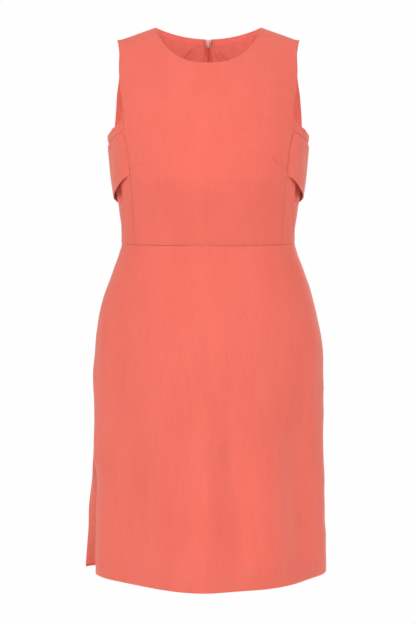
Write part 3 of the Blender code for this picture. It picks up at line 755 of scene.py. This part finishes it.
def back_bodice(side, name, material):
    """Its grid is finest along the neckline and by the armhole and the side seam."""
    corner = neck_share(True)
    shares = joined(corner * (1 - (1 - np.linspace(0, 1, 31)) ** 1.3), even(corner, 0.80, 0.013),
                    even(0.80, 1.0, 0.006))
    z = bodice_heights(even(WAIST, UNDERARM, 0.0028), top_of_columns(shares, True), 58)
    z, angle = in_order(-side, z, side * back_angle(z, shares[None]))
    points = bodice_form(z, angle)
    outer, middle = ends(side)
    away = arc_from(points, outer)
    below = curve(OVERLAY, overlay_place(z, angle), 2) - z
    window = ease(1 - below / RECESS_BELOW) * ease((RECESS_ABOVE + below) / RECESS_FADE)
    wall = 1 - np.exp(-away / RECESS_WALL)
    low = ease((z - STEP_BOTTOM) / (2 * RECESS_FADE)) * ease((STEP_TOP - z) / RECESS_FADE)
    relief = (bodice_relief(points, angle) + waist_seam(points, "bottom", angle)
              + seam_relief(away, z) * ease((UNDERARM + SEAM_STOP - z) / SEAM_FADE)
              + seam_relief(arc_from(points, middle), z)
              - RECESS * window * wall * np.exp(-(away / RECESS_REACH) ** 2)
              - STEP_BACK * low * wall * np.exp(-(away / (2 * RECESS_REACH)) ** 2))
    folds = (outer, SEAM_ROLL, SEAM_ALLOWANCE), (middle, EDGE_ROLL, SEAM_ALLOWANCE)
    return panel(name, points, relief, material, folds + BODICE_ENDS)


OVERLAY_CREASES = (
    # start angle, start z, end angle, end z, bend, width, rise, fade_in, fade_out
    (62.0, -0.19, 66.0, -0.268, 0.002, 0.009, 0.0008, 0.2, 0.5),
    (74.0, -0.205, 72.0, -0.272, 0.002, 0.01, -0.0006, 0.2, 0.5),
    (84.0, -0.206, 90.0, -0.27, 0.003, 0.012, -0.001, 0.1, 0.5),
    (104.0, -0.212, 112.0, -0.29, 0.004, 0.014, 0.001, 0.2, 0.4),
    (128.0, -0.216, 136.0, -0.32, 0.004, 0.016, -0.0012, 0.2, 0.3),
    (150.0, -0.214, 146.0, -0.33, 0.004, 0.014, 0.001, 0.3, 0.2),
    (166.0, -0.22, 160.0, -0.346, -0.004, 0.014, -0.001, 0.3, 0.2),
)
# How far below its upper edge the overlay lies close, how close there, and how far from its seam it dives in
OVERLAY_TUCK = 0.0075
OVERLAY_CLOSE = 0.70
OVERLAY_DIVE = 0.013
CAUGHT_DIP = 0.0020
CAUGHT_REACH = 0.0024
OVERLAY_TOP_ALLOWANCE = 0.008
OVERLAY_HEM = 0.012


def overlay(side, name, material):
    """The loose layer: sewn along its upper edge, caught in the side-front seam, free along its lower one."""
    first = OVERLAY[0][0]
    along = joined(even(0, 0.25, 0.006), even(0.25, 1.0, 0.0085)) ** OVERLAY_CROWD
    share = np.linspace(1, 0, 56)[:, None]
    top, bottom, top_lift, bottom_lift = (curve(OVERLAY, first + (180.0 - first) * along, column)[None]
                                          for column in (1, 2, 3, 4))
    z = top * (1 - share) + bottom * share
    start = front_edge_angle(z)
    angle = side * (start + (angle_of(BACK_EDGE, z, behind=True) - start) * along[None])
    lift = top_lift * (1 - share) + bottom_lift * share**OVERLAY_FLARE
    z, angle, lift = in_order(side, z, angle, lift)
    points = bodice_form(z, angle)
    front, back = ends(side)
    from_top, from_front = arc_from(points, "top"), arc_from(points, front)
    tucked = OVERLAY_CLOSE + (1 - OVERLAY_CLOSE) * ease(from_top / OVERLAY_TUCK)
    lift = (lift + OVERLAY_GAP + SOLID_CLOTH * tucked) * ease(from_front / OVERLAY_DIVE)
    relief = (ripple(points, *OVERLAY_RIPPLE) + seam_relief(arc_from(points, back), z)
              + laid_creases(np.abs(angle) * ARC_PER_DEGREE, z, OVERLAY_CREASES, ARC_PER_DEGREE)
              + seam_relief(from_top, angle * ARC_PER_DEGREE, TOP_SEAM_DEEP)
              - CAUGHT_DIP * np.exp(-from_front / CAUGHT_REACH))
    folds = ((front, CAUGHT_ROLL, SEAM_ALLOWANCE), (back, SEAM_ROLL, SEAM_ALLOWANCE),
             ("top", CAUGHT_ROLL, OVERLAY_TOP_ALLOWANCE), ("bottom", SEAM_ROLL, OVERLAY_HEM))
    return panel(name, points, lift + relief, material, folds)


SKIRT_STEP = 0.0034
SKIRT_FRONT_DEGREES = 1.06
SKIRT_BACK_COLUMNS = 86
SLIT_FADE = 0.010


def skirt_panel(name, z, angle, material, outer, inner, slit, right_back):
    """A skirt panel, whose outer edge is sewn down to the hem, or only to the top of the slit."""
    points = skirt_form(z, angle, right_back)
    closed = ease((z - SLIT_TOP) / SLIT_FADE) if slit else 1.0
    relief = (skirt_relief(points, angle) + waist_seam(points, "top", angle)
              + seam_relief(arc_from(points, outer), z) * closed + seam_relief(arc_from(points, inner), z))
    folds = (outer, SEAM_ROLL, SLIT_ALLOWANCE), (inner, SEAM_ROLL, SEAM_ALLOWANCE)
    return panel(name, points, relief, material, folds + SKIRT_ENDS)


def skirt_front(material):
    z, angle = np.broadcast_arrays(even(HEM, WAIST, SKIRT_STEP)[:, None],
                                   even(-90, 90, SKIRT_FRONT_DEGREES)[None])
    return skirt_panel("skirt_front_cloth", z, angle, material, "left", "right", True, False)


def skirt_back(side, name, material):
    z = even(HEM, WAIST, SKIRT_STEP)[:, None]
    middle = angle_of(BACK_EDGE, z, SKIRT_FORM, behind=True)
    angle = side * (90 + (middle - 90) * np.linspace(0, 1, SKIRT_BACK_COLUMNS)[None])
    z, angle = in_order(side, *np.broadcast_arrays(z, angle))
    return skirt_panel(name, z, angle, material, *ends(side), side < 0, side < 0)


# The facing's inner and outer edge from the centre back, its lower edge, and how deep it lies inside the back
# panel: how deep in all and at its top, and how far below its top it is settled and is no longer taut. Its
# grid is finest in the wrinkled part.
FACING_EDGE = 0.0078
FACING_HALF = 0.1290
FACING_BOTTOM = -0.098
FACING_DEEP = 0.0052
FACING_DEEP_AT_TOP = 0.0017
FACING_BELOW_EDGE = 0.0006
FACING_SETTLED = 0.009
FACING_TAUT = 0.006
FACING_WRINKLED = 0.060
FACING_ROLL = 0.0005
FACING_ALLOWANCE = 0.005
FACING_CREASES = (
    # Rows as in the tables of the bodice
    (-0.0275, -0.0275, -0.045, -0.0465, 0.0016, 0.0026, 0.0062, 0.25, 0.1),
    (-0.024, -0.0345, -0.04, -0.053, 0.001, 0.0022, -0.002, 0.2, 0.2),
    (-0.0105, -0.0255, -0.0275, -0.018, 0.0008, 0.0022, 0.0024, 0.1, 0.5),
    (-0.011, -0.044, -0.023, -0.06, 0.0006, 0.0022, 0.0026, 0.1, 0.3),
    (0.015, -0.0325, 0.037, -0.05, -0.0014, 0.0026, 0.0062, 0.2, 0.1),
    (0.012, -0.039, 0.032, -0.056, -0.001, 0.0022, -0.002, 0.2, 0.2),
    (0.01, -0.024, 0.027, -0.019, -0.0008, 0.0022, 0.0022, 0.1, 0.6),
    (0.044, -0.046, 0.056, -0.052, 0.001, 0.0026, 0.0036, 0.3, 0.2),
    (0.054, -0.021, 0.07, -0.038, 0.001, 0.004, 0.003, 0.3, 0.3),
    (0.074, -0.012, 0.086, -0.024, 0.001, 0.0036, 0.0026, 0.3, 0.3),
    (-0.056, -0.02, -0.072, -0.036, 0.001, 0.0042, 0.003, 0.3, 0.3),
    (-0.074, -0.011, -0.085, -0.023, 0.001, 0.0036, 0.0028, 0.3, 0.3),
)


def back_facing(side, name, material):
    """The facing inside the back neck, sewn to the neckline and wrinkled where the zip gathers it."""
    x = joined(even(FACING_EDGE, FACING_WRINKLED, 0.0011), even(FACING_WRINKLED, FACING_HALF, 0.0026))
    climb = 1 - (1 - np.linspace(0, 1, 62)[:, None]) ** 1.35
    top = top_height(x, True) - FACING_BELOW_EDGE
    z = FACING_BOTTOM + (top[None] - FACING_BOTTOM) * climb
    z, angle = in_order(-side, z, side * angle_of(x[None], z, behind=True))
    points = bodice_form(z, angle)
    from_top = arc_from(points, "top")
    deep = FACING_DEEP_AT_TOP + (FACING_DEEP - FACING_DEEP_AT_TOP) * ease(from_top / FACING_SETTLED)
    wrinkles = laid_creases(points[..., 0], points[..., 2], FACING_CREASES) + ripple(points, *FACING_RIPPLE)
    return panel(name, points, -(deep + wrinkles * ease(from_top / FACING_TAUT)), material,
                 [(ends(side)[1], FACING_ROLL, FACING_ALLOWANCE)], LINING_THICK)


# ---------------- the zip

ZIP_TOP = -0.0162
ZIP_END = -0.545
TAPE_THICK = 0.0005
TAPE_INNER = 0.00015
TAPE_OUTER = 0.0140
TAPE_DEEP = 0.0024
COIL_TOP = -0.0292
COIL_END = -0.542
COIL_DEEP = 0.0040
COIL_PITCH = 0.0013
STEPS_PER_LOOP = 12
COIL_THREAD = 0.00026
COIL_REACH = 0.00185
COIL_OVERLAP = 0.00035
COIL_FLATNESS = 0.7
COIL_HALF_THICK = 0.00070
SLIDER_Z = -0.0193
SLIDER_INSET = 0.0050
BRIDGE_HALF = 0.0047
BRIDGE_UNDER = 0.0032
BRIDGE_THICK = 0.0006
BRIDGE_HALF_WIDE = 0.0011
BEVEL_STEPS = 3
CORNER_STEPS = 4
PIVOT_OUT = 0.0019
PULL_LENGTH = 0.0250
PULL_LEAN = math.radians(6)
NEAR_MIDDLE = 1e-5
ACROSS = np.array([1.0, 0.0, 0.0])
OUTWARD = np.array([0.0, 1.0, 0.0])


def back_line(z):
    """Points and outward directions down the centre back, bodice and skirt."""
    bodice = bodice_form(z, angle_of(NEAR_MIDDLE, z, behind=True))
    skirt = skirt_form(z, angle_of(NEAR_MIDDLE, z, SKIRT_FORM, behind=True))
    points = np.where((z > WAIST)[:, None], bodice, skirt)
    points[:, 0] = 0.0
    out = unit(np.cross(np.gradient(points, axis=0), ACROSS))
    return points, out * np.sign(out[:, 1:2])


def tube(path, side, up, radius_side, radius_up, ring):
    """Points and faces of a closed tube along a path, whose cross-section has two half sizes."""
    side, up = (np.broadcast_to(axis, path.shape)[:, None] for axis in (side, up))
    turn = np.linspace(0, 2 * math.pi, ring, endpoint=False)
    rings = (path[:, None] + side * (radius_side * np.cos(turn))[None, :, None]
             + up * (radius_up * np.sin(turn))[None, :, None])
    index = np.arange(len(path) * ring).reshape(-1, ring)
    after = np.roll(index, -1, axis=1)
    faces = np.stack([index[:-1], after[:-1], after[1:], index[1:]], axis=2).reshape(-1, 4).tolist()
    return rings.reshape(-1, 3), faces + [index[0, ::-1].tolist(), index[-1].tolist()]


def gather(name, parts, material):
    """One object from several sets of points and faces."""
    points = []
    faces = []
    for part_points, part_faces in parts:
        start = len(points)
        points += [tuple(p) for p in part_points]
        faces += [[start + i for i in face] for face in part_faces]
    return new_object(name, mesh_of(name, points, faces), material)


def zip_tape(side, name, material):
    """Woven tape that the coil is sewn to, between it and the back panel's edge."""
    z = even(ZIP_END, ZIP_TOP, 0.0030)
    points, out = back_line(z)
    x = TAPE_INNER + (TAPE_OUTER - TAPE_INNER) * np.linspace(0, 1, 9) ** 1.6
    face = np.repeat(points[:, None], len(x), axis=1)
    face[..., 0] += side * x[None]
    face = face - out[:, None] * TAPE_DEEP
    face = face[:, ::-1] if side > 0 else face
    return shell(name, face, TAPE_THICK, material)


def zip_coil(side, name, material):
    """A monofilament wound into flat loops that reach between those of the other side."""
    turns = int((COIL_TOP - COIL_END) / COIL_PITCH)
    t = np.linspace(0, turns, turns * STEPS_PER_LOOP + 1)
    z = COIL_TOP - t * COIL_PITCH - (COIL_PITCH / 2 if side < 0 else 0.0)
    points, out = back_line(z)
    flat_x, flat_d = (signed_power(wave(2 * math.pi * t), COIL_FLATNESS) for wave in (np.cos, np.sin))
    middle = (COIL_REACH - COIL_OVERLAP) / 2
    half = (COIL_REACH + COIL_OVERLAP) / 2 - COIL_THREAD
    path = points - out * (COIL_DEEP + COIL_HALF_THICK * flat_d)[:, None]
    path[:, 0] += side * (middle + half * flat_x)
    tangent = unit(np.gradient(path, axis=0))
    down = unit(np.array([0.0, 0.0, -1.0]) + tangent * tangent[:, 2:3])
    thread = tube(path, np.cross(tangent, down), down, COIL_THREAD, COIL_THREAD, 5)
    return gather(name, [thread], material)


def slider_frame():
    """Axes at the slider: across, out of the back and up along it, and its point on the back's surface."""
    points, _ = back_line(SLIDER_Z + np.array([-0.004, 0.0, 0.004]))
    up = Vector(points[2] - points[0]).normalized()
    across = Vector(ACROSS)
    outward = -across.cross(up).normalized()
    return Matrix.Translation(Vector(points[1])) @ Matrix((across, outward, up)).transposed().to_4x4()


def plate(outline, low, high, bevel):
    """A plate between two depths with rounded edges, from an outline of (across, up) points."""
    outline = np.array(outline)
    before = outline - np.roll(outline, 1, axis=0)
    after = np.roll(outline, -1, axis=0) - outline
    normal = unit(np.stack([before[:, 1] + after[:, 1], -(before[:, 0] + after[:, 0])], axis=1))
    turn = np.linspace(0, math.pi / 2, BEVEL_STEPS + 1)
    shrink = np.concatenate([bevel * (1 - np.sin(turn)), bevel * (1 - np.cos(turn))])
    depth = np.concatenate([low + bevel * (1 - np.cos(turn)), high - bevel * (1 - np.sin(turn))])
    rings = []
    for inset, level in zip(shrink, depth):
        ring = outline - normal * inset
        rings.append(np.stack([ring[:, 0], np.full(len(ring), level), ring[:, 1]], axis=1))
    points = np.concatenate(rings)
    index = np.arange(len(points)).reshape(len(rings), len(outline))
    after = np.roll(index, -1, axis=1)
    faces = np.stack([index[:-1], index[1:], after[1:], after[:-1]], axis=2).reshape(-1, 4).tolist()
    return points, faces + [index[0].tolist(), index[-1, ::-1].tolist()]


def rounded(corners, radius):
    """An outline with its corners rounded off, in the order of the corners given."""
    corners = [np.array(c, dtype=float) for c in corners]
    outline = []
    for i, corner in enumerate(corners):
        before = corners[i - 1] - corner
        after = corners[(i + 1) % len(corners)] - corner
        reach = min(radius, 0.45 * np.linalg.norm(before), 0.45 * np.linalg.norm(after))
        start = corner + before / np.linalg.norm(before) * reach
        end = corner + after / np.linalg.norm(after) * reach
        for t in np.linspace(0, 1, CORNER_STEPS + 1):
            outline.append((1 - t) ** 2 * start + 2 * t * (1 - t) * corner + t**2 * end)
    return outline


def mirrored(half):
    """A whole outline from the corners of its half to the wearer's left, from the bottom up."""
    return [(-x, z) for x, z in reversed(half)] + half


def placed(parts, matrix):
    """Sets of points and faces moved from a local frame to the dress's."""
    turn = np.array(matrix.to_3x3())
    shift = np.array(matrix.translation)
    return [(points @ turn.T + shift, faces) for points, faces in parts]


SLIDER_HALF = 0.0051
SLIDER_MOUTH_HALF = 0.0042
SLIDER_TALL_HALF = 0.0064
SLIDER_PLATE = 0.0009
SLIDER_THICK = 0.0038
SLIDER_WAIST = 0.0006
SLIDER_CORNER = 0.0016
CAST_BEVEL = 0.00035
FLANGE = (0.00035, 0.0006)


def zip_slider(material):
    """Two cast plates with turned flanges, joined by a wedge, and the bridge that carries the pull."""
    corners = mirrored([(SLIDER_MOUTH_HALF, -SLIDER_TALL_HALF), (SLIDER_HALF, SLIDER_WAIST),
                        (SLIDER_HALF, SLIDER_TALL_HALF)])
    outline = rounded(corners, SLIDER_CORNER)[::-1]
    inside = -SLIDER_INSET - SLIDER_THICK
    parts = [plate(outline, inside, inside + SLIDER_PLATE, CAST_BEVEL),
             plate(outline, -SLIDER_INSET - SLIDER_PLATE, -SLIDER_INSET, CAST_BEVEL)]
    wedge = rounded(mirrored([(0.0002, 0.0008), (0.0012, 0.0050)]), 0.0004)[::-1]
    parts.append(plate(wedge, inside + 0.0004, -SLIDER_INSET - 0.0004, 0.0001))
    for side in (-1, 1):
        path = np.array([(side * (SLIDER_MOUTH_HALF + 0.0001), 0, 0.0006 - SLIDER_TALL_HALF),
                         (side * (SLIDER_HALF - 0.0002), 0, 0.0004),
                         (side * (SLIDER_HALF - 0.0001), 0, 0.0030)])
        for level in (inside + SLIDER_PLATE + 0.0002, -SLIDER_INSET - SLIDER_PLATE - 0.0002):
            parts.append(tube(path + level * OUTWARD, ACROSS, OUTWARD, *FLANGE, 8))
    turn = np.linspace(0, math.pi, 19)
    foot = BRIDGE_THICK - SLIDER_INSET - SLIDER_THICK / 2
    arch = np.stack([0 * turn, foot + (BRIDGE_UNDER + BRIDGE_THICK - foot) * np.sin(turn) ** 0.55,
                     (BRIDGE_HALF - BRIDGE_THICK) * signed_power(np.cos(turn), 0.6)], axis=1)
    tangent = unit(np.gradient(arch, axis=0))
    parts.append(tube(arch, ACROSS, np.cross(tangent, ACROSS), BRIDGE_HALF_WIDE, BRIDGE_THICK, 10))
    return gather("zip_slider_casting", placed(parts, slider_frame()), material)


# The pull's eye is a rounded slot, whose ends lie at these heights from the pivot. Then its half width, and
# the tab's half thickness and its half width at the tip.
EYE_TOP = 0.0006
EYE_LOW = -0.0058
EYE_HALF = 0.0023
TAB_THICK = 0.00055
TAB_TIP = 0.0029


def zip_pull(material):
    """A flat drop-shaped tab whose eye goes round the bridge."""
    lean = slider_frame() @ Matrix.Translation((0, PIVOT_OUT, 0)) @ Matrix.Rotation(-PULL_LEAN, 4, "X")
    turn = np.linspace(0, 2 * math.pi, 37)
    middle = (EYE_TOP + EYE_LOW) / 2
    loop = np.stack([EYE_HALF * signed_power(np.sin(turn), 0.7), 0 * turn,
                     middle + (EYE_TOP - middle) * signed_power(np.cos(turn), 0.8)], axis=1)
    tangent = np.gradient(loop, axis=0)
    tangent[0] = tangent[-1] = loop[1] - loop[-2]
    parts = [tube(loop, np.cross(unit(tangent), OUTWARD), OUTWARD, TAB_THICK, TAB_THICK, 8)]
    half = [(0.0017, EYE_LOW + 0.0006), (0.0015, -0.0090), (0.0018, -0.0125)]
    half += [(TAB_TIP * math.cos(a - 0.25), -PULL_LENGTH + 0.0063 * (1 - math.sin(a)))
             for a in np.linspace(0.25, math.pi / 2, 9)]
    outline = [(-x, z) for x, z in half] + [(x, z) for x, z in reversed(half)]
    parts.append(plate(outline, -TAB_THICK, TAB_THICK, CAST_BEVEL))
    return gather("zip_pull_tab", placed(parts, lean), material)


# ---------------- the finishes

def linear(hex_colour):
    """An sRGB hex colour as linear RGBA."""
    parts = [int(hex_colour[i:i + 2], 16) / 255 for i in (0, 2, 4)]
    return tuple(c / 12.92 if c <= 0.04045 else ((c + 0.055) / 1.055) ** 2.4 for c in parts) + (1.0,)


def add_node(tree, kind, settings=(), inputs=(), stops=()):
    """Adds a node with its settings, its inputs as values or as links from other nodes, and the places and
    colours of its stops, if it is a ramp."""
    made = tree.nodes.new(kind)
    for name, value in dict(settings).items():
        setattr(made, name, value)
    for name, value in dict(inputs).items():
        if isinstance(value, bpy.types.NodeSocket):
            tree.links.new(value, made.inputs[name])
        else:
            made.inputs[name].default_value = value
    for stop, (at, colour) in enumerate(stops):
        made.color_ramp.elements[stop].position = at
        made.color_ramp.elements[stop].color = linear(colour)
    return made


def new_finish(name, **sockets):
    """A material with the given constants on its shader's own sockets, its tree, its shader and places."""
    material = bpy.data.materials.new(name)
    material.use_nodes = True
    tree = material.node_tree
    shader = tree.nodes["Principled BSDF"]
    for socket, value in sockets.items():
        shader.inputs[socket.replace("_", " ")].default_value = value
    return material, tree, shader, add_node(tree, "ShaderNodeTexCoord").outputs["Object"]


def woven_crepe(name, dark, light, bloom=0.44):
    """Polyester crepe, woven from hard-twisted yarn: a dry, matt, faintly pebbled face with a pale bloom
    where it turns away, thin enough for some light to come through. The real grain is about 0.4 mm wide; it
    is drawn 1.4 mm wide so that it shows."""
    material, tree, shader, place = new_finish(
        name, Roughness=0.88, Sheen_Weight=bloom, Sheen_Roughness=0.40, Specular_IOR_Level=0.18,
        Sheen_Tint=linear("FFEDE8"), Subsurface_Weight=0.25, Subsurface_Radius=(0.004, 0.0022, 0.0018),
        Subsurface_Scale=0.25)
    # Clouds 45 mm wide and yarns 2.2 mm wide, both drawn out up and down the cloth
    drop = add_node(tree, "ShaderNodeMapping", inputs={"Vector": place, "Scale": (1.0, 1.0, 0.3)})
    cloudy = add_node(tree, "ShaderNodeTexNoise", inputs={
        "Vector": drop.outputs["Vector"], "Scale": 1000 / 45.0, "Detail": 2.0})
    grain = add_node(tree, "ShaderNodeTexNoise", inputs={
        "Vector": place, "Scale": 1000 / 1.4, "Detail": 3.0, "Roughness": 0.6})
    warp = add_node(tree, "ShaderNodeMapping", inputs={"Vector": place, "Scale": (1.0, 1.0, 0.06)})
    yarn = add_node(tree, "ShaderNodeTexNoise", inputs={
        "Vector": warp.outputs["Vector"], "Scale": 1000 / 2.2, "Detail": 2.0})
    shade = 0.0
    for pattern, weight in ((cloudy, 0.27), (grain, 0.53), (yarn, 0.20)):
        shade = add_node(tree, "ShaderNodeMath", {"operation": "MULTIPLY_ADD"},
                         {0: pattern.outputs["Fac"], 1: weight, 2: shade}).outputs["Value"]
    colour = add_node(tree, "ShaderNodeValToRGB", inputs={"Fac": shade}, stops=((0.36, dark), (0.64, light)))
    tree.links.new(colour.outputs["Color"], shader.inputs["Base Color"])
    height = add_node(tree, "ShaderNodeMath", {"operation": "MULTIPLY_ADD"},
                      {0: yarn.outputs["Fac"], 1: 0.5, 2: grain.outputs["Fac"]})
    bump = add_node(tree, "ShaderNodeBump", inputs={
        "Height": height.outputs["Value"], "Strength": 0.35, "Distance": 0.00022})
    tree.links.new(bump.outputs["Normal"], shader.inputs["Normal"])
    return material


def woven_tape(name, dark, light):
    """Polyester zip tape, woven in a narrow herringbone: close, flat and a little shiny. The real ribs are
    about 1.6 mm apart; they are drawn about 20 mm apart, so that they show."""
    material, tree, shader, place = new_finish(name, Roughness=0.70, Specular_IOR_Level=0.15,
                                               Sheen_Weight=0.05)
    ribs = add_node(tree, "ShaderNodeTexWave", {"wave_type": "BANDS", "bands_direction": "DIAGONAL"},
                    {"Vector": place, "Scale": 50 / 1.6, "Distortion": 0.6, "Detail": 1.0})
    colour = add_node(tree, "ShaderNodeValToRGB", inputs={"Fac": ribs.outputs["Fac"]},
                      stops=((0.1, dark), (0.9, light)))
    tree.links.new(colour.outputs["Color"], shader.inputs["Base Color"])
    bump = add_node(tree, "ShaderNodeBump", inputs={
        "Height": ribs.outputs["Fac"], "Strength": 0.4, "Distance": 0.0002})
    tree.links.new(bump.outputs["Normal"], shader.inputs["Normal"])
    return material


def drawn_nylon(name, dark, light):
    """Nylon monofilament, drawn and heat-set: smooth, dense and slightly glossy, with 11 faint clouds in
    each 50 mm."""
    material, tree, shader, place = new_finish(name, Roughness=0.38, IOR=1.53, Specular_IOR_Level=0.5)
    cloudy = add_node(tree, "ShaderNodeTexNoise", inputs={
        "Vector": place, "Scale": 1000 * 11 / 50, "Detail": 2.0})
    colour = add_node(tree, "ShaderNodeValToRGB", inputs={"Fac": cloudy.outputs["Fac"]},
                      stops=((0.35, dark), (0.65, light)))
    tree.links.new(colour.outputs["Color"], shader.inputs["Base Color"])
    return material


def enamelled_zinc(name, dark, light):
    """Die-cast zinc dipped in enamel: a smooth pale pink gloss, a little uneven where it has run, three times
    in each 10 mm."""
    material, tree, shader, place = new_finish(name, Roughness=0.3, Coat_Weight=0.35, Coat_Roughness=0.15,
                                               Specular_IOR_Level=0.5)
    cloudy = add_node(tree, "ShaderNodeTexNoise", inputs={
        "Vector": place, "Scale": 1000 * 3 / 10, "Detail": 3.0})
    colour = add_node(tree, "ShaderNodeValToRGB", inputs={"Fac": cloudy.outputs["Fac"]},
                      stops=((0.3, dark), (0.7, light)))
    tree.links.new(colour.outputs["Color"], shader.inputs["Base Color"])
    bump = add_node(tree, "ShaderNodeBump", inputs={
        "Height": cloudy.outputs["Fac"], "Strength": 0.1, "Distance": 0.0001})
    tree.links.new(bump.outputs["Normal"], shader.inputs["Normal"])
    return material


def matt_floor(name, dark, light):
    """Matt white studio floor, with faint clouds, three to each 1000 mm."""
    material, tree, shader, place = new_finish(name, Roughness=0.9, Specular_IOR_Level=0.1)
    cloudy = add_node(tree, "ShaderNodeTexNoise", inputs={
        "Vector": place, "Scale": 1000 * 3 / 1000, "Detail": 2.0})
    colour = add_node(tree, "ShaderNodeValToRGB", inputs={"Fac": cloudy.outputs["Fac"]},
                      stops=((0.3, dark), (0.7, light)))
    tree.links.new(colour.outputs["Color"], shader.inputs["Base Color"])
    return material


# ---------------- the studio

# Strength and colour of the white surroundings, as lit and as seen, then powers of the lamps in watts
WORLD_LIGHT = 0.46
WORLD_COLOUR = (1.0, 0.99, 0.98, 1.0)
WORLD_SEEN = 0.995
FRONT_LIGHT = 19.6
TOP_LIGHT = 5.0
LEFT_LIGHT = 42.0
RIGHT_LIGHT = 40.0
BACK_LIGHT = 90.0
NECK_LAMP = 0.027
CHEST_LAMP = 0.72
HEM_LAMP = 0.44
FLOOR_Z = -1.45
FLOOR_HALF = 1.25
FLOOR_CORNERS = 96

# The picture's longer side and the lens, both in pixels
LONG_SIDE = 624
FOCAL_PIXELS = 1685.0
CAMERA_AT = (-0.0007, -3.0, -0.2626)
CAMERA_PITCH = math.radians(4.583)
SENSOR = 36.0


def studio_floor():
    turn = np.linspace(0, 2 * math.pi, FLOOR_CORNERS, endpoint=False)
    ring = np.stack([FLOOR_HALF * np.cos(turn), FLOOR_HALF * np.sin(turn), 0 * turn + FLOOR_Z], axis=1)
    mesh = mesh_of("studio_floor", ring.tolist(), [list(range(FLOOR_CORNERS))])
    new_object("studio_floor", mesh, matt_floor("floor", "EDECEA", "F2F1EF"))


def new_lamp(name, light, power, at):
    light.energy = power
    lamp = bpy.data.objects.new(name, light)
    lamp.location = at
    bpy.context.scene.collection.objects.link(lamp)
    return lamp


def soft_box(name, at, aim, size, power):
    light = bpy.data.lights.new(name, "AREA")
    light.shape = "SQUARE"
    light.size = size
    lamp = new_lamp(name, light, power, at)
    lamp.rotation_euler = (Vector(aim) - Vector(at)).to_track_quat("-Z", "Y").to_euler()
    return lamp


def inside_lamp(name, at, radius, power):
    """A small lamp out of sight inside the hollow dress, as such clothes are lit for a shop's picture. It is
    cool, because the cloth round it turns its light warm."""
    light = bpy.data.lights.new(name, "POINT")
    light.color = (0.40, 1.0, 1.0)
    light.shadow_soft_size = radius
    new_lamp(name, light, power, at).visible_camera = False


def studio_light():
    """White surroundings, soft boxes all round, and small lamps inside."""
    world = bpy.data.worlds.new("white studio")
    world.use_nodes = True
    bpy.context.scene.world = world
    tree = world.node_tree
    seen = tree.nodes["Background"]
    seen.inputs["Color"].default_value = (1.0, 1.0, 1.0, 1.0)
    seen.inputs["Strength"].default_value = WORLD_SEEN
    lit = add_node(tree, "ShaderNodeBackground", inputs={"Color": WORLD_COLOUR, "Strength": WORLD_LIGHT})
    ray = add_node(tree, "ShaderNodeLightPath")
    both = add_node(tree, "ShaderNodeMixShader", inputs={0: ray.outputs["Is Camera Ray"],
                                                         1: lit.outputs["Background"],
                                                         2: seen.outputs["Background"]})
    tree.links.new(both.outputs["Shader"], tree.nodes["World Output"].inputs["Surface"])
    aim = (0.0, 0.0, -0.40)
    soft_box("front", (-0.50, -3.3, 0.25), aim, 2.2, FRONT_LIGHT)
    soft_box("top", (-0.20, -2.2, 1.9), aim, 1.3, TOP_LIGHT)
    soft_box("left", (-2.6, -2.2, 0.4), aim, 1.6, LEFT_LIGHT)
    soft_box("right", (2.6, -2.2, 0.4), aim, 1.6, RIGHT_LIGHT)
    soft_box("back", (0.9, 3.4, 1.2), aim, 2.2, BACK_LIGHT)
    # Out of sight in the neck opening, aimed down at the facing and the zip
    neck = soft_box("neck lamp", (0.0, -0.060, 0.022), (0.0, 0.070, -0.045), 0.03, NECK_LAMP)
    neck.visible_camera = False
    inside_lamp("chest lamp", (0.0, -0.010, -0.215), 0.030, CHEST_LAMP)
    inside_lamp("hem lamp", (-0.080, 0.0, -0.860), 0.040, HEM_LAMP)


def camera():
    data = bpy.data.cameras.new("camera")
    data.sensor_width = SENSOR
    data.lens = SENSOR * FOCAL_PIXELS / LONG_SIDE
    viewer = bpy.data.objects.new("camera", data)
    viewer.location = CAMERA_AT
    viewer.rotation_euler = (math.pi / 2 - CAMERA_PITCH, 0.0, 0.0)
    bpy.context.scene.collection.objects.link(viewer)
    bpy.context.scene.camera = viewer


# ---------------- assembly


def stands_for(piece, body, node):
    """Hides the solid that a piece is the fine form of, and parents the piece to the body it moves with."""
    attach(piece, body)
    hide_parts(node)


def cloth_for(piece, node):
    """The same for a piece of cloth, which hangs from the seams around it."""
    stands_for(piece, "dress", node)


def main():
    crepe = woven_crepe("coral polyester crepe", "E86C5C", "F27869")
    # The facing is the same crepe as the dress; its darker colours are painted shade for the inside of the
    # back neck.
    facing = woven_crepe("coral crepe darkened as painted shade", "D86459", "E46F63", 0.20)
    tape = woven_tape("coral zip tape", "E2574B", "ED6459")
    nylon = drawn_nylon("coral nylon coil", "E2685C", "EE766A")
    enamel = enamelled_zinc("pale pink enamelled zinc", "F8B5AB", "FDC4BB")

    cloth_for(front_bodice(crepe), "front_bodice")
    cloth_for(skirt_front(crepe), "skirt_front")
    for side, hand in ((1, "left"), (-1, "right")):
        for make, cut, slot, finish in ((side_front, "side_front", "crepe", crepe),
                                        (back_bodice, "back_bodice", "crepe", crepe),
                                        (overlay, "overlay", "crepe", crepe),
                                        (skirt_back, "skirt_back", "crepe", crepe),
                                        (back_facing, "back_facing", "facing", facing),
                                        (zip_tape, "zip_tape", "zip_tape", tape)):
            cloth_for(make(side, f"{cut}_{hand}_cloth", finish), f"{cut}_{hand}")
        stands_for(zip_coil(side, f"zip_coil_{hand}_loops", nylon), "dress", "zip_coil")
    stands_for(zip_slider(enamel), "dress", "zip_slider")
    stands_for(zip_pull(enamel), "pull", "zip_pull")

    studio_floor()
    studio_light()
    camera()
    bpy.context.scene.view_settings.view_transform = "Standard"


main()
